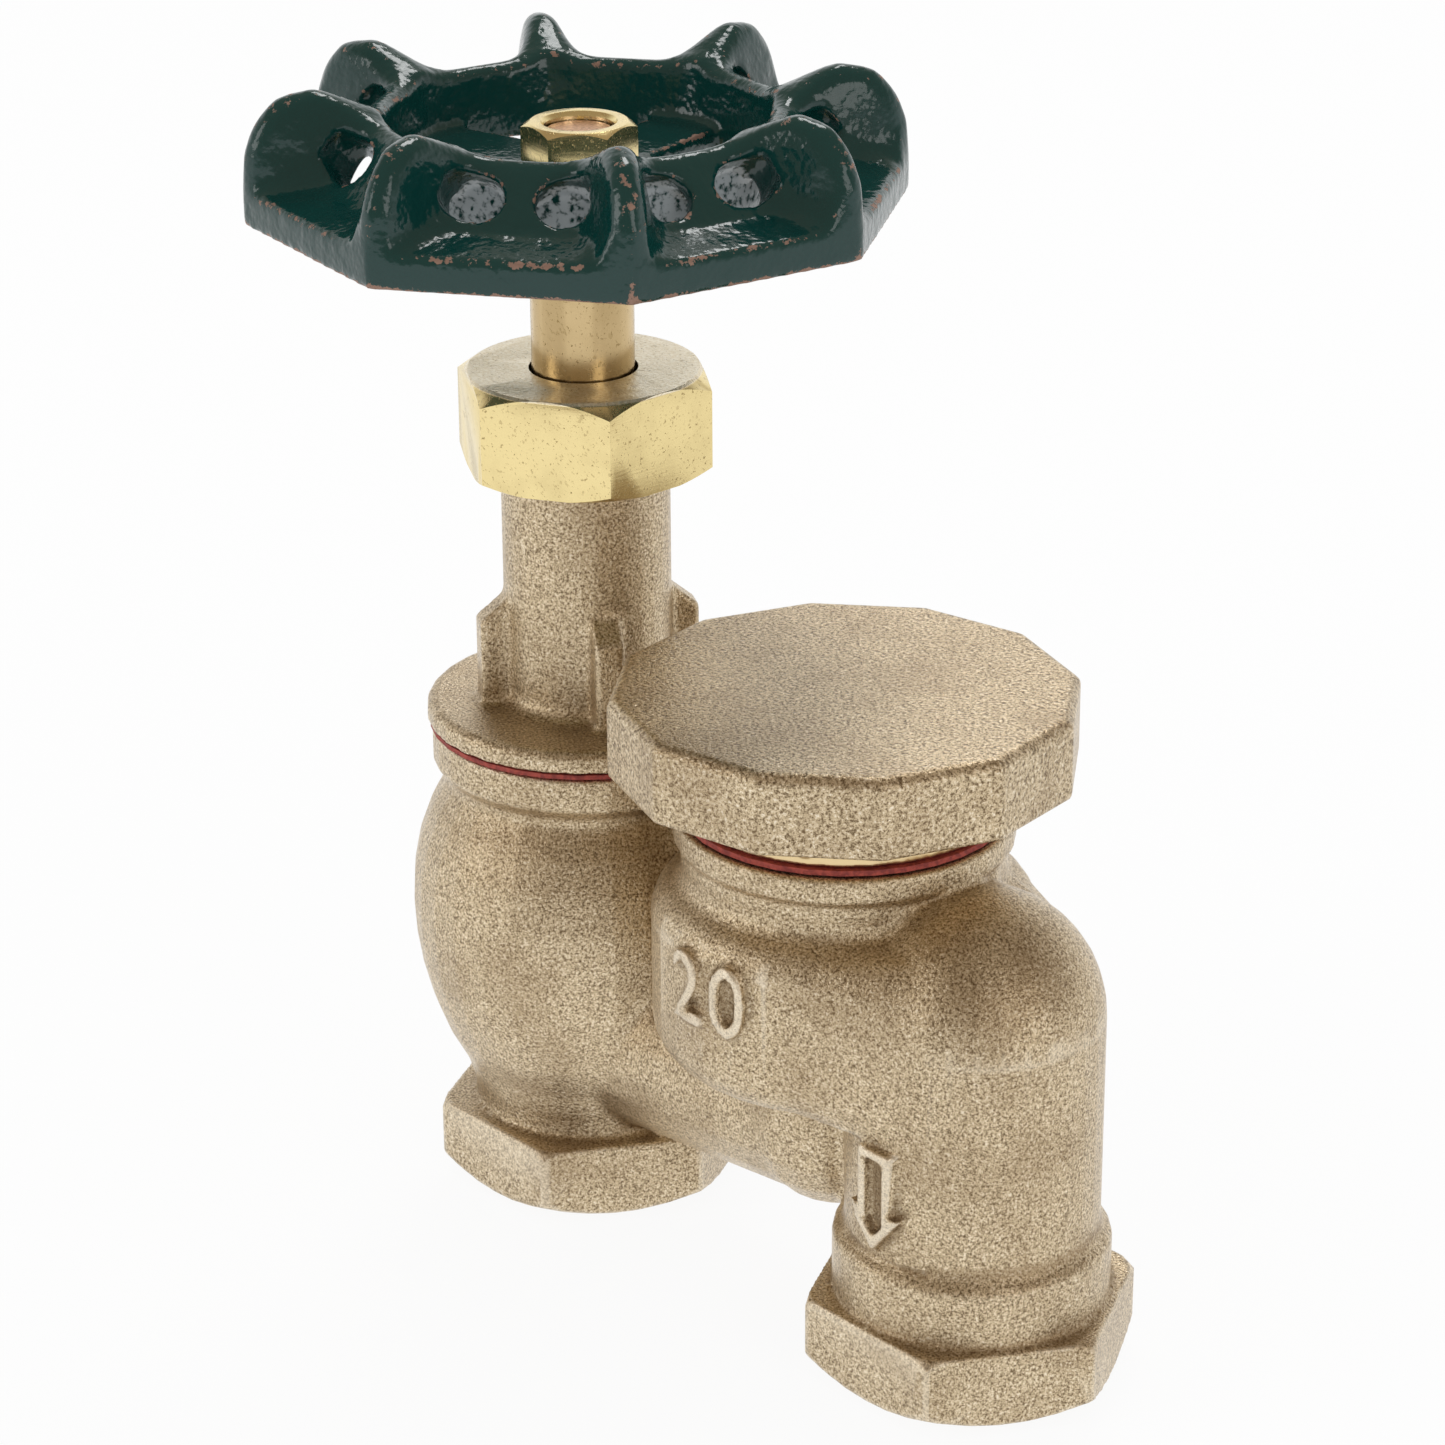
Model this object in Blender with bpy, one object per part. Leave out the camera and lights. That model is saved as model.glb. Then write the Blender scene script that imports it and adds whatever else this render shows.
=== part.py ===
"""Bronze globe valve with an atmospheric vacuum breaker, built from its separate pieces.

Three upright axes stand in one plane: the inlet axis carries the globe, the bonnet, the stem and
the handwheel, the cap axis carries the vacuum breaker, and the outlet axis carries the drop leg.
Heights are measured from the lower faces of the two pipe sockets. The handwheel is shown closed.
"""

import math

import bmesh
import bpy
from mathutils import Matrix, Vector

MM = 0.001

# Axes, measured from the inlet axis
CAP_AXIS_OFFSET = 42.5 * MM
OUTLET_AXIS_OFFSET = 63.0 * MM

# Clearances
REST_GAP = 0.3 * MM
GASKET_GAP = 0.2 * MM
SLIDE_GAP = 0.3 * MM
THREAD_GAP = 0.3 * MM
OVERLAP = 1.0 * MM

# Pipe sockets
SOCKET_FLATS = 32.5 * MM
SOCKET_HEX_HEIGHT = 9.7 * MM
SOCKET_FACE_RADIUS = 14.6 * MM
SOCKET_CHAMFER = 2.6 * MM
SOCKET_TOP_CHAMFER = 0.9 * MM
SOCKET_BORE_RADIUS = 12.1 * MM
SOCKET_THREAD_DEPTH = 14.5 * MM
SOCKET_THROAT_RISE = 1.8 * MM

# Body casting
CASTING_WALL = 3.2 * MM
INLET_NECK_RADIUS = 14.3 * MM
GLOBE_RADIUS = 21.0 * MM
GLOBE_HEIGHT = 36.0 * MM
GLOBE_RISE = 24.0 * MM
GLOBE_DROP = 30.3 * MM
BONNET_COLLAR_RADIUS = 18.2 * MM
BONNET_COLLAR_TOP = 57.1 * MM
BONNET_COLLAR_HEIGHT = 4.0 * MM
BONNET_COLLAR_NECK = 1.0 * MM
SEAT_HEIGHT = 22.0 * MM
SEAT_BORE_RADIUS = 8.6 * MM
SEAT_LIP_WIDTH = 2.0 * MM
SEAT_LIP_HEIGHT = 1.5 * MM
CROSSOVER_RADIUS = 11.6 * MM
CROSSOVER_START_HEIGHT = 19.9 * MM
CROSSOVER_END_HEIGHT = 23.9 * MM
CROSSOVER_ELBOW = 0.4 * MM
CROSSOVER_ENTRY_RISE = 5.5 * MM
BREAKER_RADIUS = 21.2 * MM
BREAKER_FLOOR = 31.0 * MM
BREAKER_SHOULDER = 52.0 * MM
BREAKER_SHOULDER_ROUND = 4.2 * MM
BREAKER_SHOULDER_START = math.radians(75.0)
BREAKER_FLOOR_ROUND = 5.0 * MM
SHOULDER_INSET = 0.3 * MM
CAP_COLLAR_RADIUS = 18.7 * MM
CAP_COLLAR_TOP = 59.5 * MM
CAP_COLLAR_HEIGHT = 2.7 * MM
CAP_COLLAR_STEP = 0.7 * MM
CAP_NECK_RADIUS = 17.6 * MM
FLOAT_SEAT_LIP_HEIGHT = 1.0 * MM
LEG_RADIUS = 14.0 * MM
LEG_DOME_HEIGHT = 42.5 * MM
LEG_BAND_RADIUS = 15.3 * MM
LEG_BAND_TOP = 17.2 * MM
LEG_BAND_ROUND = 1.2 * MM

# Bonnet
BONNET_FLANGE_RADIUS = 18.7 * MM
BONNET_FLANGE_THICKNESS = 2.6 * MM
BONNET_FLANGE_SLOPE = 0.7 * MM
BONNET_TUBE_RADIUS = 9.6 * MM
BONNET_TUBE_FILLET = 1.6 * MM
BONNET_TUBE_LENGTH = 35.8 * MM
BONNET_SPIGOT_RADIUS = 13.9 * MM
BONNET_SPIGOT_LENGTH = 7.6 * MM
BONNET_THROAT_LENGTH = 4.0 * MM
RIB_COUNT = 4
RIB_ANGLE = math.radians(-29.0)
RIB_ROOT = 8.6 * MM
RIB_REACH = 12.7 * MM
RIB_SHOULDER = 10.0 * MM
RIB_SLOPE = 3.4 * MM
RIB_THICKNESS = 3.4 * MM

# Stem and what swivels on its lower end
STEM_RADIUS = 5.8 * MM
STEM_THREAD_RADIUS = 7.0 * MM
STEM_THREAD_LENGTH = 22.0 * MM
STEM_NECK_RADIUS = 3.8 * MM
STEM_BUTTON_RADIUS = 6.0 * MM
STEM_BUTTON_HEIGHT = 3.4 * MM
STEM_SQUARE = 7.6 * MM
STEM_TIP_RADIUS = 3.6 * MM
STEM_TIP_LENGTH = 4.0 * MM
VALVE_LIFT = 8.0 * MM
SEAT_WASHER_RADIUS = 10.0 * MM
SEAT_WASHER_THICKNESS = 2.8 * MM
DISC_RIM_WIDTH = 1.1 * MM
DISC_RIM_DEPTH = 2.0 * MM
DISC_PLATE = 3.0 * MM
DISC_SOCKET_WALL = 2.6 * MM
DISC_SOCKET_DEPTH = 9.0 * MM
WASHER_SCREW_RADIUS = 2.0 * MM
WASHER_SCREW_HEAD_RADIUS = 3.8 * MM
WASHER_SCREW_HEAD_HEIGHT = 1.6 * MM
LOCK_NUT_FLATS = 16.5 * MM
LOCK_NUT_HEAD = 3.0 * MM

# Packing
PACKING_DEPTH = 10.4 * MM
PACKING_WIDTH = 2.0 * MM
PACKING_RING_COUNT = 3
PACKING_RING_HEIGHT = 1.5 * MM
PACKING_NUT_FLATS = 26.1 * MM
PACKING_NUT_HEIGHT = 11.4 * MM
PACKING_NUT_ROOF = 3.0 * MM
PACKING_NUT_FACE_RADIUS = 13.0 * MM
PACKING_NUT_CHAMFER = 1.5 * MM
PACKING_NUT_FOOT_CHAMFER = 0.6 * MM
PACKING_NUT_ANGLE = math.radians(-29.7)

# Handwheel
WHEEL_HEIGHT = 118.0 * MM
WHEEL_CORNER_RADIUS = 37.0 * MM
WHEEL_LOBES = 8
WHEEL_ANGLE = math.radians(-32.1)
WHEEL_BAND = 3.9 * MM
WHEEL_BAND_THICKNESS = 2.6 * MM
WHEEL_TOP = 11.4 * MM
WHEEL_TOP_RADIUS = 22.0 * MM
WHEEL_TOP_ROUND = 1.15 * MM
WHEEL_LIP_DROP = 0.6 * MM
SKIRT_FOOT_RADIUS = 28.4 * MM
SKIRT_FOOT_HEIGHT = 5.0 * MM
SKIRT_THICKNESS = 1.9 * MM
FLANGE_UNDER_RADIUS = 31.0 * MM
FLANGE_UNDER_HEIGHT = 1.9 * MM
DISH_RADIUS = 20.4 * MM
DISH_WALL = 2.3 * MM
DISH_UNDER_HEIGHT = 8.4 * MM
WEB_HEIGHT = 2.8 * MM
LOBE_TOP = 15.0 * MM
LOBE_TOP_RADIUS = 28.8 * MM
LOBE_ROOT_RADIUS = 21.6 * MM
LOBE_ROOT_HEIGHT = 12.0 * MM
LOBE_HALF_WIDTH = math.radians(5.0)
LOBE_FULLNESS = 0.7
LOBE_STEEPNESS = 4
WINDOW_ANGLE = math.radians(11.0)
WINDOW_WIDTH = 7.0 * MM
WINDOW_HEIGHT = 5.6 * MM
WINDOW_DEPTH = 2.5 * MM
SPOKE_COUNT = 4
SPOKE_WIDTH = 9.0 * MM
SPOKE_THICKNESS = 2.4 * MM
HUB_RADIUS = 9.0 * MM
HUB_DROP = 1.5 * MM
HUB_HEIGHT = 6.4 * MM
WHEEL_NUT_FLATS = 11.15 * MM
WHEEL_NUT_HEIGHT = 4.6 * MM
WHEEL_NUT_CHAMFER = 0.6 * MM
WHEEL_NUT_ANGLE = math.radians(-12.1)

# Vacuum breaker cap and float
CAP_SIDES = 12
CAP_CORNER_RADIUS = 25.8 * MM
CAP_ANGLE = math.radians(-34.7)
CAP_HEAD_HEIGHT = 9.2 * MM
CAP_EDGE = 0.8 * MM
CAP_SHOULDER_RADIUS = 17.7 * MM
CAP_SHOULDER_HEIGHT = 4.2 * MM
CAP_SEAL_WIDTH = 2.0 * MM
CAP_SPIGOT_WALL = 3.3 * MM
CAP_SPIGOT_LENGTH = 8.8 * MM
CAP_ROOF = 3.8 * MM
VENT_COUNT = 8
VENT_RADIUS = 1.2 * MM
VENT_DROP = 1.8 * MM
GUIDE_BOSS_RADIUS = 3.8 * MM
GUIDE_BOSS_LENGTH = 13.0 * MM
CAP_GASKET_THICKNESS = 0.6 * MM
BONNET_GASKET_THICKNESS = 0.5 * MM
AIR_SEAT_BORE = 7.5 * MM
AIR_SEAT_HEIGHT = 3.0 * MM
AIR_SEAT_LIP_WIDTH = 1.6 * MM
AIR_SEAT_LIP_HEIGHT = 1.0 * MM
FLOAT_RADIUS = 10.8 * MM
FLOAT_HEIGHT = 3.8 * MM
FLOAT_PLUG_CLEARANCE = 0.8 * MM
FLOAT_PLUG_DEPTH = 3.0 * MM
FLOAT_ROD_RADIUS = 1.6 * MM
FLOAT_ROD_END_GAP = 1.0 * MM
FLOAT_SEAL_RADIUS = 9.3 * MM
FLOAT_SEAL_THICKNESS = 2.4 * MM
FLOAT_WASHER_RADIUS = 6.4 * MM
FLOAT_WASHER_THICKNESS = 1.0 * MM
FLOAT_NUT_FLATS = 6.4 * MM
FLOAT_NUT_HEIGHT = 2.5 * MM
FLOAT_STOP_GAP = 0.3 * MM

# Smoothness of round pieces
ROUND_SIDES = 32
SMALL_SIDES = 20
ARC_STEPS = 5
FILLET_STEPS = 3
GLOBE_STEPS = 10
CHAMBER_STEPS = 6
LOBE_STEPS = 4
BAY_STEPS = 7
BAY_STEP_POWER = 1.6
WINDOW_SIDES = 12
VENT_SIDES = 10
SHARP_ANGLE = math.radians(35.0)
WELD_DISTANCE = 0.001 * MM

# Heights worked out from the sizes above, along the inlet axis
BONNET_GASKET_LOW = BONNET_COLLAR_TOP + GASKET_GAP
FLANGE_LOW = BONNET_GASKET_LOW + BONNET_GASKET_THICKNESS + GASKET_GAP
FLANGE_TOP = FLANGE_LOW + BONNET_FLANGE_THICKNESS
BONNET_TOP = FLANGE_TOP + BONNET_TUBE_LENGTH
BONNET_LOW = FLANGE_LOW - BONNET_SPIGOT_LENGTH
STUFFING_FLOOR = BONNET_TOP - PACKING_DEPTH
THROAT_LOW = STUFFING_FLOOR - BONNET_THROAT_LENGTH
BONNET_BORE_RADIUS = BONNET_SPIGOT_RADIUS + THREAD_GAP
STEM_HOLE_RADIUS = STEM_RADIUS + SLIDE_GAP
STUFFING_RADIUS = STEM_HOLE_RADIUS + PACKING_WIDTH + REST_GAP
WASHER_LOW = SEAT_HEIGHT + REST_GAP
WASHER_TOP = WASHER_LOW + SEAT_WASHER_THICKNESS
DISC_PLATE_LOW = WASHER_TOP + REST_GAP
DISC_SOCKET_LOW = DISC_PLATE_LOW + DISC_PLATE
DISC_TOP = DISC_SOCKET_LOW + DISC_SOCKET_DEPTH
DISC_SOCKET_RADIUS = STEM_BUTTON_RADIUS + SLIDE_GAP
BUTTON_LOW = DISC_SOCKET_LOW + REST_GAP
BUTTON_TOP = BUTTON_LOW + STEM_BUTTON_HEIGHT
LOCK_NUT_TOP = DISC_TOP + REST_GAP + LOCK_NUT_HEAD
STEM_SHOULDER = LOCK_NUT_TOP + REST_GAP
STEM_THREAD_TOP = THROAT_LOW - VALVE_LIFT - REST_GAP
STEM_THREAD_LOW = STEM_THREAD_TOP - STEM_THREAD_LENGTH
PACKING_NUT_TOP = BONNET_TOP + REST_GAP + PACKING_NUT_ROOF
PACKING_NUT_LOW = PACKING_NUT_TOP - PACKING_NUT_HEIGHT
HUB_LOW = WHEEL_HEIGHT - HUB_DROP
HUB_TOP = HUB_LOW + HUB_HEIGHT
WHEEL_NUT_LOW = HUB_TOP + REST_GAP
WHEEL_NUT_TOP = WHEEL_NUT_LOW + WHEEL_NUT_HEIGHT

# Heights worked out along the cap axis
BREAKER_INNER_FLOOR = BREAKER_FLOOR + CASTING_WALL
FLOAT_SEAT_HEIGHT = BREAKER_INNER_FLOOR + FLOAT_SEAT_LIP_HEIGHT
CAP_GASKET_LOW = CAP_COLLAR_TOP + GASKET_GAP
CAP_SHOULDER_LOW = CAP_GASKET_LOW + CAP_GASKET_THICKNESS + GASKET_GAP
CAP_HEAD_LOW = CAP_SHOULDER_LOW + CAP_SHOULDER_HEIGHT
CAP_TOP = CAP_HEAD_LOW + CAP_HEAD_HEIGHT
CAP_LOW = CAP_SHOULDER_LOW - CAP_SPIGOT_LENGTH
CAP_BORE_RADIUS = CAP_SHOULDER_RADIUS - CAP_SEAL_WIDTH
CAP_SPIGOT_RADIUS = CAP_BORE_RADIUS - THREAD_GAP
CAP_HOLLOW_RADIUS = CAP_SPIGOT_RADIUS - CAP_SPIGOT_WALL
CAP_HOLLOW_TOP = CAP_TOP - CAP_ROOF
GUIDE_BOSS_LOW = CAP_HOLLOW_TOP - GUIDE_BOSS_LENGTH
AIR_SEAT_LOW = CAP_LOW - AIR_SEAT_LIP_HEIGHT
FLOAT_LOW = FLOAT_SEAT_HEIGHT + REST_GAP
FLOAT_TOP = FLOAT_LOW + FLOAT_HEIGHT
FLOAT_SEAL_LOW = FLOAT_TOP + REST_GAP
FLOAT_SEAL_TOP = FLOAT_SEAL_LOW + FLOAT_SEAL_THICKNESS
FLOAT_LIFT = AIR_SEAT_LOW - FLOAT_SEAL_TOP - FLOAT_STOP_GAP
FLOAT_WASHER_LOW = FLOAT_SEAL_TOP + REST_GAP
FLOAT_NUT_LOW = FLOAT_WASHER_LOW + FLOAT_WASHER_THICKNESS + REST_GAP
FLOAT_ROD_HOLE = FLOAT_ROD_RADIUS + SLIDE_GAP
FLOAT_ROD_TOP = CAP_HOLLOW_TOP - FLOAT_LIFT - FLOAT_ROD_END_GAP


def clear_scene():
    for old in list(bpy.data.objects):
        bpy.data.objects.remove(old)


def finish_material(name, colour, roughness, metallic):
    material = bpy.data.materials.new(name)
    material.use_nodes = True
    shader = material.node_tree.nodes["Principled BSDF"]
    shader.inputs["Base Color"].default_value = (*colour, 1.0)
    shader.inputs["Roughness"].default_value = roughness
    shader.inputs["Metallic"].default_value = metallic
    material.diffuse_color = (*colour, 1.0)
    return material


def solid(name, bm):
    """Close a bmesh into an object whose faces point outwards."""
    bmesh.ops.remove_doubles(bm, verts=bm.verts, dist=WELD_DISTANCE)
    bmesh.ops.dissolve_degenerate(bm, edges=bm.edges, dist=WELD_DISTANCE)
    bmesh.ops.recalc_face_normals(bm, faces=bm.faces)
    mesh = bpy.data.meshes.new(name)
    bm.to_mesh(mesh)
    bm.free()
    piece = bpy.data.objects.new(name, mesh)
    bpy.context.collection.objects.link(piece)
    return piece


def turned(name, outline, axis_x=0.0, sides=ROUND_SIDES):
    """Spin a closed (radius, height) outline about an upright axis."""
    bm = bmesh.new()
    corners = [bm.verts.new((radius, 0.0, height)) for radius, height in outline]
    edges = []
    for corner, following in zip(corners, corners[1:] + corners[:1]):
        on_axis = corner.co.x < WELD_DISTANCE and following.co.x < WELD_DISTANCE
        if not on_axis:
            edges.append(bm.edges.new((corner, following)))
    bmesh.ops.spin(bm, geom=corners + edges, cent=(0, 0, 0), axis=(0, 0, 1),
                   angle=math.tau, steps=sides, use_merge=True)
    bmesh.ops.translate(bm, verts=bm.verts, vec=(axis_x, 0, 0))
    return solid(name, bm)


def tube_outline(inner, outer, low, high):
    return [(inner, high), (outer, high), (outer, low), (inner, low)]


def rod_outline(radius, low, high):
    return tube_outline(0.0, radius, low, high)


def prism(name, outline, low, high):
    """Raise a flat (x, y) outline from one height to another."""
    bm = bmesh.new()
    base = bm.faces.new([bm.verts.new((x, y, low)) for x, y in outline])
    raised = bmesh.ops.extrude_face_region(bm, geom=[base])["geom"]
    top = [item for item in raised if isinstance(item, bmesh.types.BMVert)]
    bmesh.ops.translate(bm, verts=top, vec=(0, 0, high - low))
    return solid(name, bm)


def regular_outline(sides, corner_radius, first_angle, axis_x=0.0):
    turns = [first_angle + math.tau * k / sides for k in range(sides)]
    return [(axis_x + corner_radius * math.cos(a), corner_radius * math.sin(a)) for a in turns]


def lofted(name, rings):
    """Skin a run of equal rings of points and cap both ends."""
    bm = bmesh.new()
    loops = [[bm.verts.new(point) for point in ring] for ring in rings]
    count = len(loops[0])
    for lower, upper in zip(loops, loops[1:]):
        for k in range(count):
            after = (k + 1) % count
            bm.faces.new((lower[k], lower[after], upper[after], upper[k]))
    bm.faces.new(loops[0])
    bm.faces.new(loops[-1])
    return solid(name, bm)


def combine(target, tool, operation):
    """Join a tool to a piece or cut it out, and keep the result as the piece's mesh."""
    modifier = target.modifiers.new(tool.name, "BOOLEAN")
    modifier.operation = operation
    modifier.solver = "MANIFOLD"
    modifier.object = tool
    depsgraph = bpy.context.evaluated_depsgraph_get()
    mesh = bpy.data.meshes.new_from_object(target.evaluated_get(depsgraph))
    target.modifiers.clear()
    target.data = mesh
    bpy.data.objects.remove(tool)
    return target


def join(target, *tools):
    for tool in tools:
        combine(target, tool, "UNION")
    return target


def cut(target, *tools):
    for tool in tools:
        combine(target, tool, "DIFFERENCE")
    return target


def keep_common(target, tool):
    return combine(target, tool, "INTERSECT")


def arc(centre, radius, start, end, steps=ARC_STEPS):
    """Points of a circular arc in a (radius, height) outline, from one angle to another."""
    turns = [start + (end - start) * k / steps for k in range(steps + 1)]
    return [(centre[0] + radius * math.cos(a), centre[1] + radius * math.sin(a)) for a in turns]


def corner_radius(across_flats):
    return across_flats / math.sqrt(3.0)


def hexagon(name, across_flats, low, high, first_angle=0.0, axis_x=0.0):
    return prism(name, regular_outline(6, corner_radius(across_flats), first_angle, axis_x), low, high)


def globe_radius(height):
    """Outer radius of the egg-shaped globe at a height."""
    reach = GLOBE_RISE if height > GLOBE_HEIGHT else GLOBE_DROP
    share = 1.0 - ((height - GLOBE_HEIGHT) / reach) ** 2
    return max(INLET_NECK_RADIUS, GLOBE_RADIUS * math.sqrt(max(share, 0.0)))


def globe_heights(low, high, steps):
    return [high + (low - high) * k / steps for k in range(steps + 1)]


def socket_hexagon(name, axis_x):
    """Six-sided pipe socket, chamfered as if turned at its mouth and its shoulder."""
    piece = hexagon(name, SOCKET_FLATS, 0.0, SOCKET_HEX_HEIGHT, 0.0, axis_x)
    corner = corner_radius(SOCKET_FLATS)
    blank = turned(name + "_blank", [
        (0.0, SOCKET_HEX_HEIGHT + OVERLAP),
        (corner - SOCKET_TOP_CHAMFER - OVERLAP, SOCKET_HEX_HEIGHT + OVERLAP),
        (corner + OVERLAP, SOCKET_HEX_HEIGHT - SOCKET_TOP_CHAMFER - OVERLAP),
        (corner + OVERLAP, SOCKET_CHAMFER * (corner + OVERLAP - SOCKET_FACE_RADIUS)
         / (corner - SOCKET_FACE_RADIUS)),
        (SOCKET_FACE_RADIUS, 0.0),
        (SOCKET_FACE_RADIUS, -OVERLAP),
        (0.0, -OVERLAP),
    ], axis_x)
    return keep_common(piece, blank)


def globe_shell():
    """Outside of the inlet neck, the globe and the collar that takes the bonnet."""
    collar_low = BONNET_COLLAR_TOP - BONNET_COLLAR_HEIGHT
    neck_radius = BONNET_COLLAR_RADIUS - BONNET_COLLAR_NECK
    neck_low = collar_low - 2.0 * BONNET_COLLAR_NECK
    outline = [
        (0.0, BONNET_COLLAR_TOP),
        (BONNET_COLLAR_RADIUS, BONNET_COLLAR_TOP),
        (BONNET_COLLAR_RADIUS, collar_low),
        (neck_radius, collar_low - BONNET_COLLAR_NECK),
    ]
    neck_top = SOCKET_HEX_HEIGHT + 2.0 * OVERLAP
    outline += [(globe_radius(z), z) for z in globe_heights(neck_top, neck_low, GLOBE_STEPS)]
    outline += [(INLET_NECK_RADIUS, SOCKET_HEX_HEIGHT - OVERLAP), (0.0, SOCKET_HEX_HEIGHT - OVERLAP)]
    return turned("globe_shell", outline)


def breaker_shell():
    """Outside of the vacuum breaker bowl and the collar that takes the cap."""
    collar_low = CAP_COLLAR_TOP - CAP_COLLAR_HEIGHT
    step_radius = CAP_COLLAR_RADIUS - CAP_COLLAR_STEP
    shoulder = (BREAKER_RADIUS - BREAKER_SHOULDER_ROUND, BREAKER_SHOULDER - BREAKER_SHOULDER_ROUND)
    floor = (BREAKER_RADIUS - BREAKER_FLOOR_ROUND, BREAKER_FLOOR + BREAKER_FLOOR_ROUND)
    outline = [
        (0.0, CAP_COLLAR_TOP),
        (CAP_COLLAR_RADIUS, CAP_COLLAR_TOP),
        (CAP_COLLAR_RADIUS, collar_low),
        (step_radius, collar_low - CAP_COLLAR_STEP),
        (step_radius, collar_low - 3.0 * CAP_COLLAR_STEP),
        (CAP_NECK_RADIUS, BREAKER_SHOULDER + 2.0 * CAP_COLLAR_STEP),
    ]
    outline += arc(shoulder, BREAKER_SHOULDER_ROUND, BREAKER_SHOULDER_START, 0.0)
    outline += arc(floor, BREAKER_FLOOR_ROUND, 0.0, math.radians(-90.0))
    outline.append((0.0, BREAKER_FLOOR))
    return turned("breaker_shell", outline, CAP_AXIS_OFFSET)


def outlet_leg(radius, low, name):
    """Upright leg with a round top."""
    dome = arc((0.0, LEG_DOME_HEIGHT), radius, math.radians(90.0), 0.0, 2 * ARC_STEPS)
    return turned(name, dome + [(radius, low), (0.0, low)], OUTLET_AXIS_OFFSET)


def outlet_band():
    low = SOCKET_HEX_HEIGHT - OVERLAP
    edge = (LEG_BAND_RADIUS - LEG_BAND_ROUND, LEG_BAND_TOP - LEG_BAND_ROUND)
    outline = [(0.0, LEG_BAND_TOP)]
    outline += arc(edge, LEG_BAND_ROUND, math.radians(90.0), 0.0, FILLET_STEPS)
    outline += [(LEG_BAND_RADIUS, low), (0.0, low)]
    return turned("outlet_band", outline, OUTLET_AXIS_OFFSET)


def capsule(name, start, end, radius):
    """Round-ended tube between two points of the valve's upright plane."""
    start = Vector((start[0], 0.0, start[1]))
    end = Vector((end[0], 0.0, end[1]))
    along = (end - start).normalized()
    across = Vector((0.0, 1.0, 0.0))
    upward = along.cross(across)
    turns = [math.tau * j / SMALL_SIDES for j in range(SMALL_SIDES)]
    rings = []
    for centre, sign in ((start, -1.0), (end, 1.0)):
        tilts = [0.5 * math.pi * k / ARC_STEPS for k in range(ARC_STEPS)]
        for tilt in (reversed(tilts) if sign < 0.0 else tilts):
            middle = centre + sign * radius * math.sin(tilt) * along
            reach = radius * math.cos(tilt)
            rings.append([middle + reach * (math.cos(a) * across + math.sin(a) * upward) for a in turns])
    return lofted(name, rings)


def crossover_shell():
    """Tube that leaves the globe low down, runs under the breaker and turns up into it."""
    low_end = (CAP_AXIS_OFFSET, CROSSOVER_END_HEIGHT)
    level = capsule("crossover_shell", (0.0, CROSSOVER_START_HEIGHT), low_end,
                    CROSSOVER_RADIUS - CROSSOVER_ELBOW)
    rise = capsule("crossover_rise", low_end, (CAP_AXIS_OFFSET, BREAKER_INNER_FLOOR), CROSSOVER_RADIUS)
    return join(level, rise)


def crossover_bore():
    """Waterway from above the valve seat, down the crossover and up to the float's seat."""
    radius = CROSSOVER_RADIUS - CASTING_WALL
    entry = (SEAT_BORE_RADIUS + SEAT_LIP_WIDTH, SEAT_HEIGHT + CROSSOVER_ENTRY_RISE)
    dip_x = GLOBE_RADIUS + CASTING_WALL
    share = dip_x / CAP_AXIS_OFFSET
    dip = (dip_x, between(CROSSOVER_START_HEIGHT, CROSSOVER_END_HEIGHT, share))
    low_end = (CAP_AXIS_OFFSET, CROSSOVER_END_HEIGHT)
    bore = capsule("crossover_bore", entry, dip, radius - CROSSOVER_ELBOW)
    join(bore, capsule("crossover_level", dip, low_end, radius))
    return bore


def teardrop_ring(height, bowl_radius, leg_radius):
    """Level outline drawn tight round the bowl's circle and the leg's circle."""
    spacing = OUTLET_AXIS_OFFSET - CAP_AXIS_OFFSET
    touch = math.acos((bowl_radius - leg_radius) / spacing)
    points = []
    for k in range(SMALL_SIDES + 1):
        a = touch + (math.tau - 2.0 * touch) * k / SMALL_SIDES
        points.append((CAP_AXIS_OFFSET + bowl_radius * math.cos(a), bowl_radius * math.sin(a), height))
    for k in range(SMALL_SIDES // 2 + 1):
        a = -touch + 2.0 * touch * k / (SMALL_SIDES // 2)
        points.append((OUTLET_AXIS_OFFSET + leg_radius * math.cos(a), leg_radius * math.sin(a), height))
    return points


def shoulder_shell():
    """Full shoulder that carries the bowl's side over to the outlet leg."""
    floor_round = BREAKER_FLOOR_ROUND
    top_round = BREAKER_SHOULDER_ROUND
    bowl = BREAKER_RADIUS - SHOULDER_INSET
    leg = LEG_RADIUS - SHOULDER_INSET
    rings = []
    for k in range(ARC_STEPS + 1):
        a = 0.5 * math.pi * k / ARC_STEPS
        drawn_in = floor_round * (1.0 - math.sin(a))
        height = BREAKER_FLOOR + SHOULDER_INSET + floor_round * (1.0 - math.cos(a))
        rings.append(teardrop_ring(height, bowl - drawn_in, leg))
    top = BREAKER_SHOULDER - SHOULDER_INSET
    heights = [between(LEG_DOME_HEIGHT, top, k / ARC_STEPS) for k in range(ARC_STEPS + 1)]
    for height in heights:
        over = max(height - (top - top_round), 0.0)
        drawn_in = top_round - math.sqrt(max(top_round ** 2 - over ** 2, 0.0))
        dome = math.sqrt(max(leg ** 2 - (height - LEG_DOME_HEIGHT) ** 2, 0.0))
        rings.append(teardrop_ring(height, bowl - drawn_in, dome))
    return lofted("shoulder_shell", rings)


def shoulder_tunnel(radius, name):
    """Level tube that joins the breaker bowl to the top of the outlet leg."""
    return capsule(name, (CAP_AXIS_OFFSET, LEG_DOME_HEIGHT), (OUTLET_AXIS_OFFSET, LEG_DOME_HEIGHT), radius)


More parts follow.
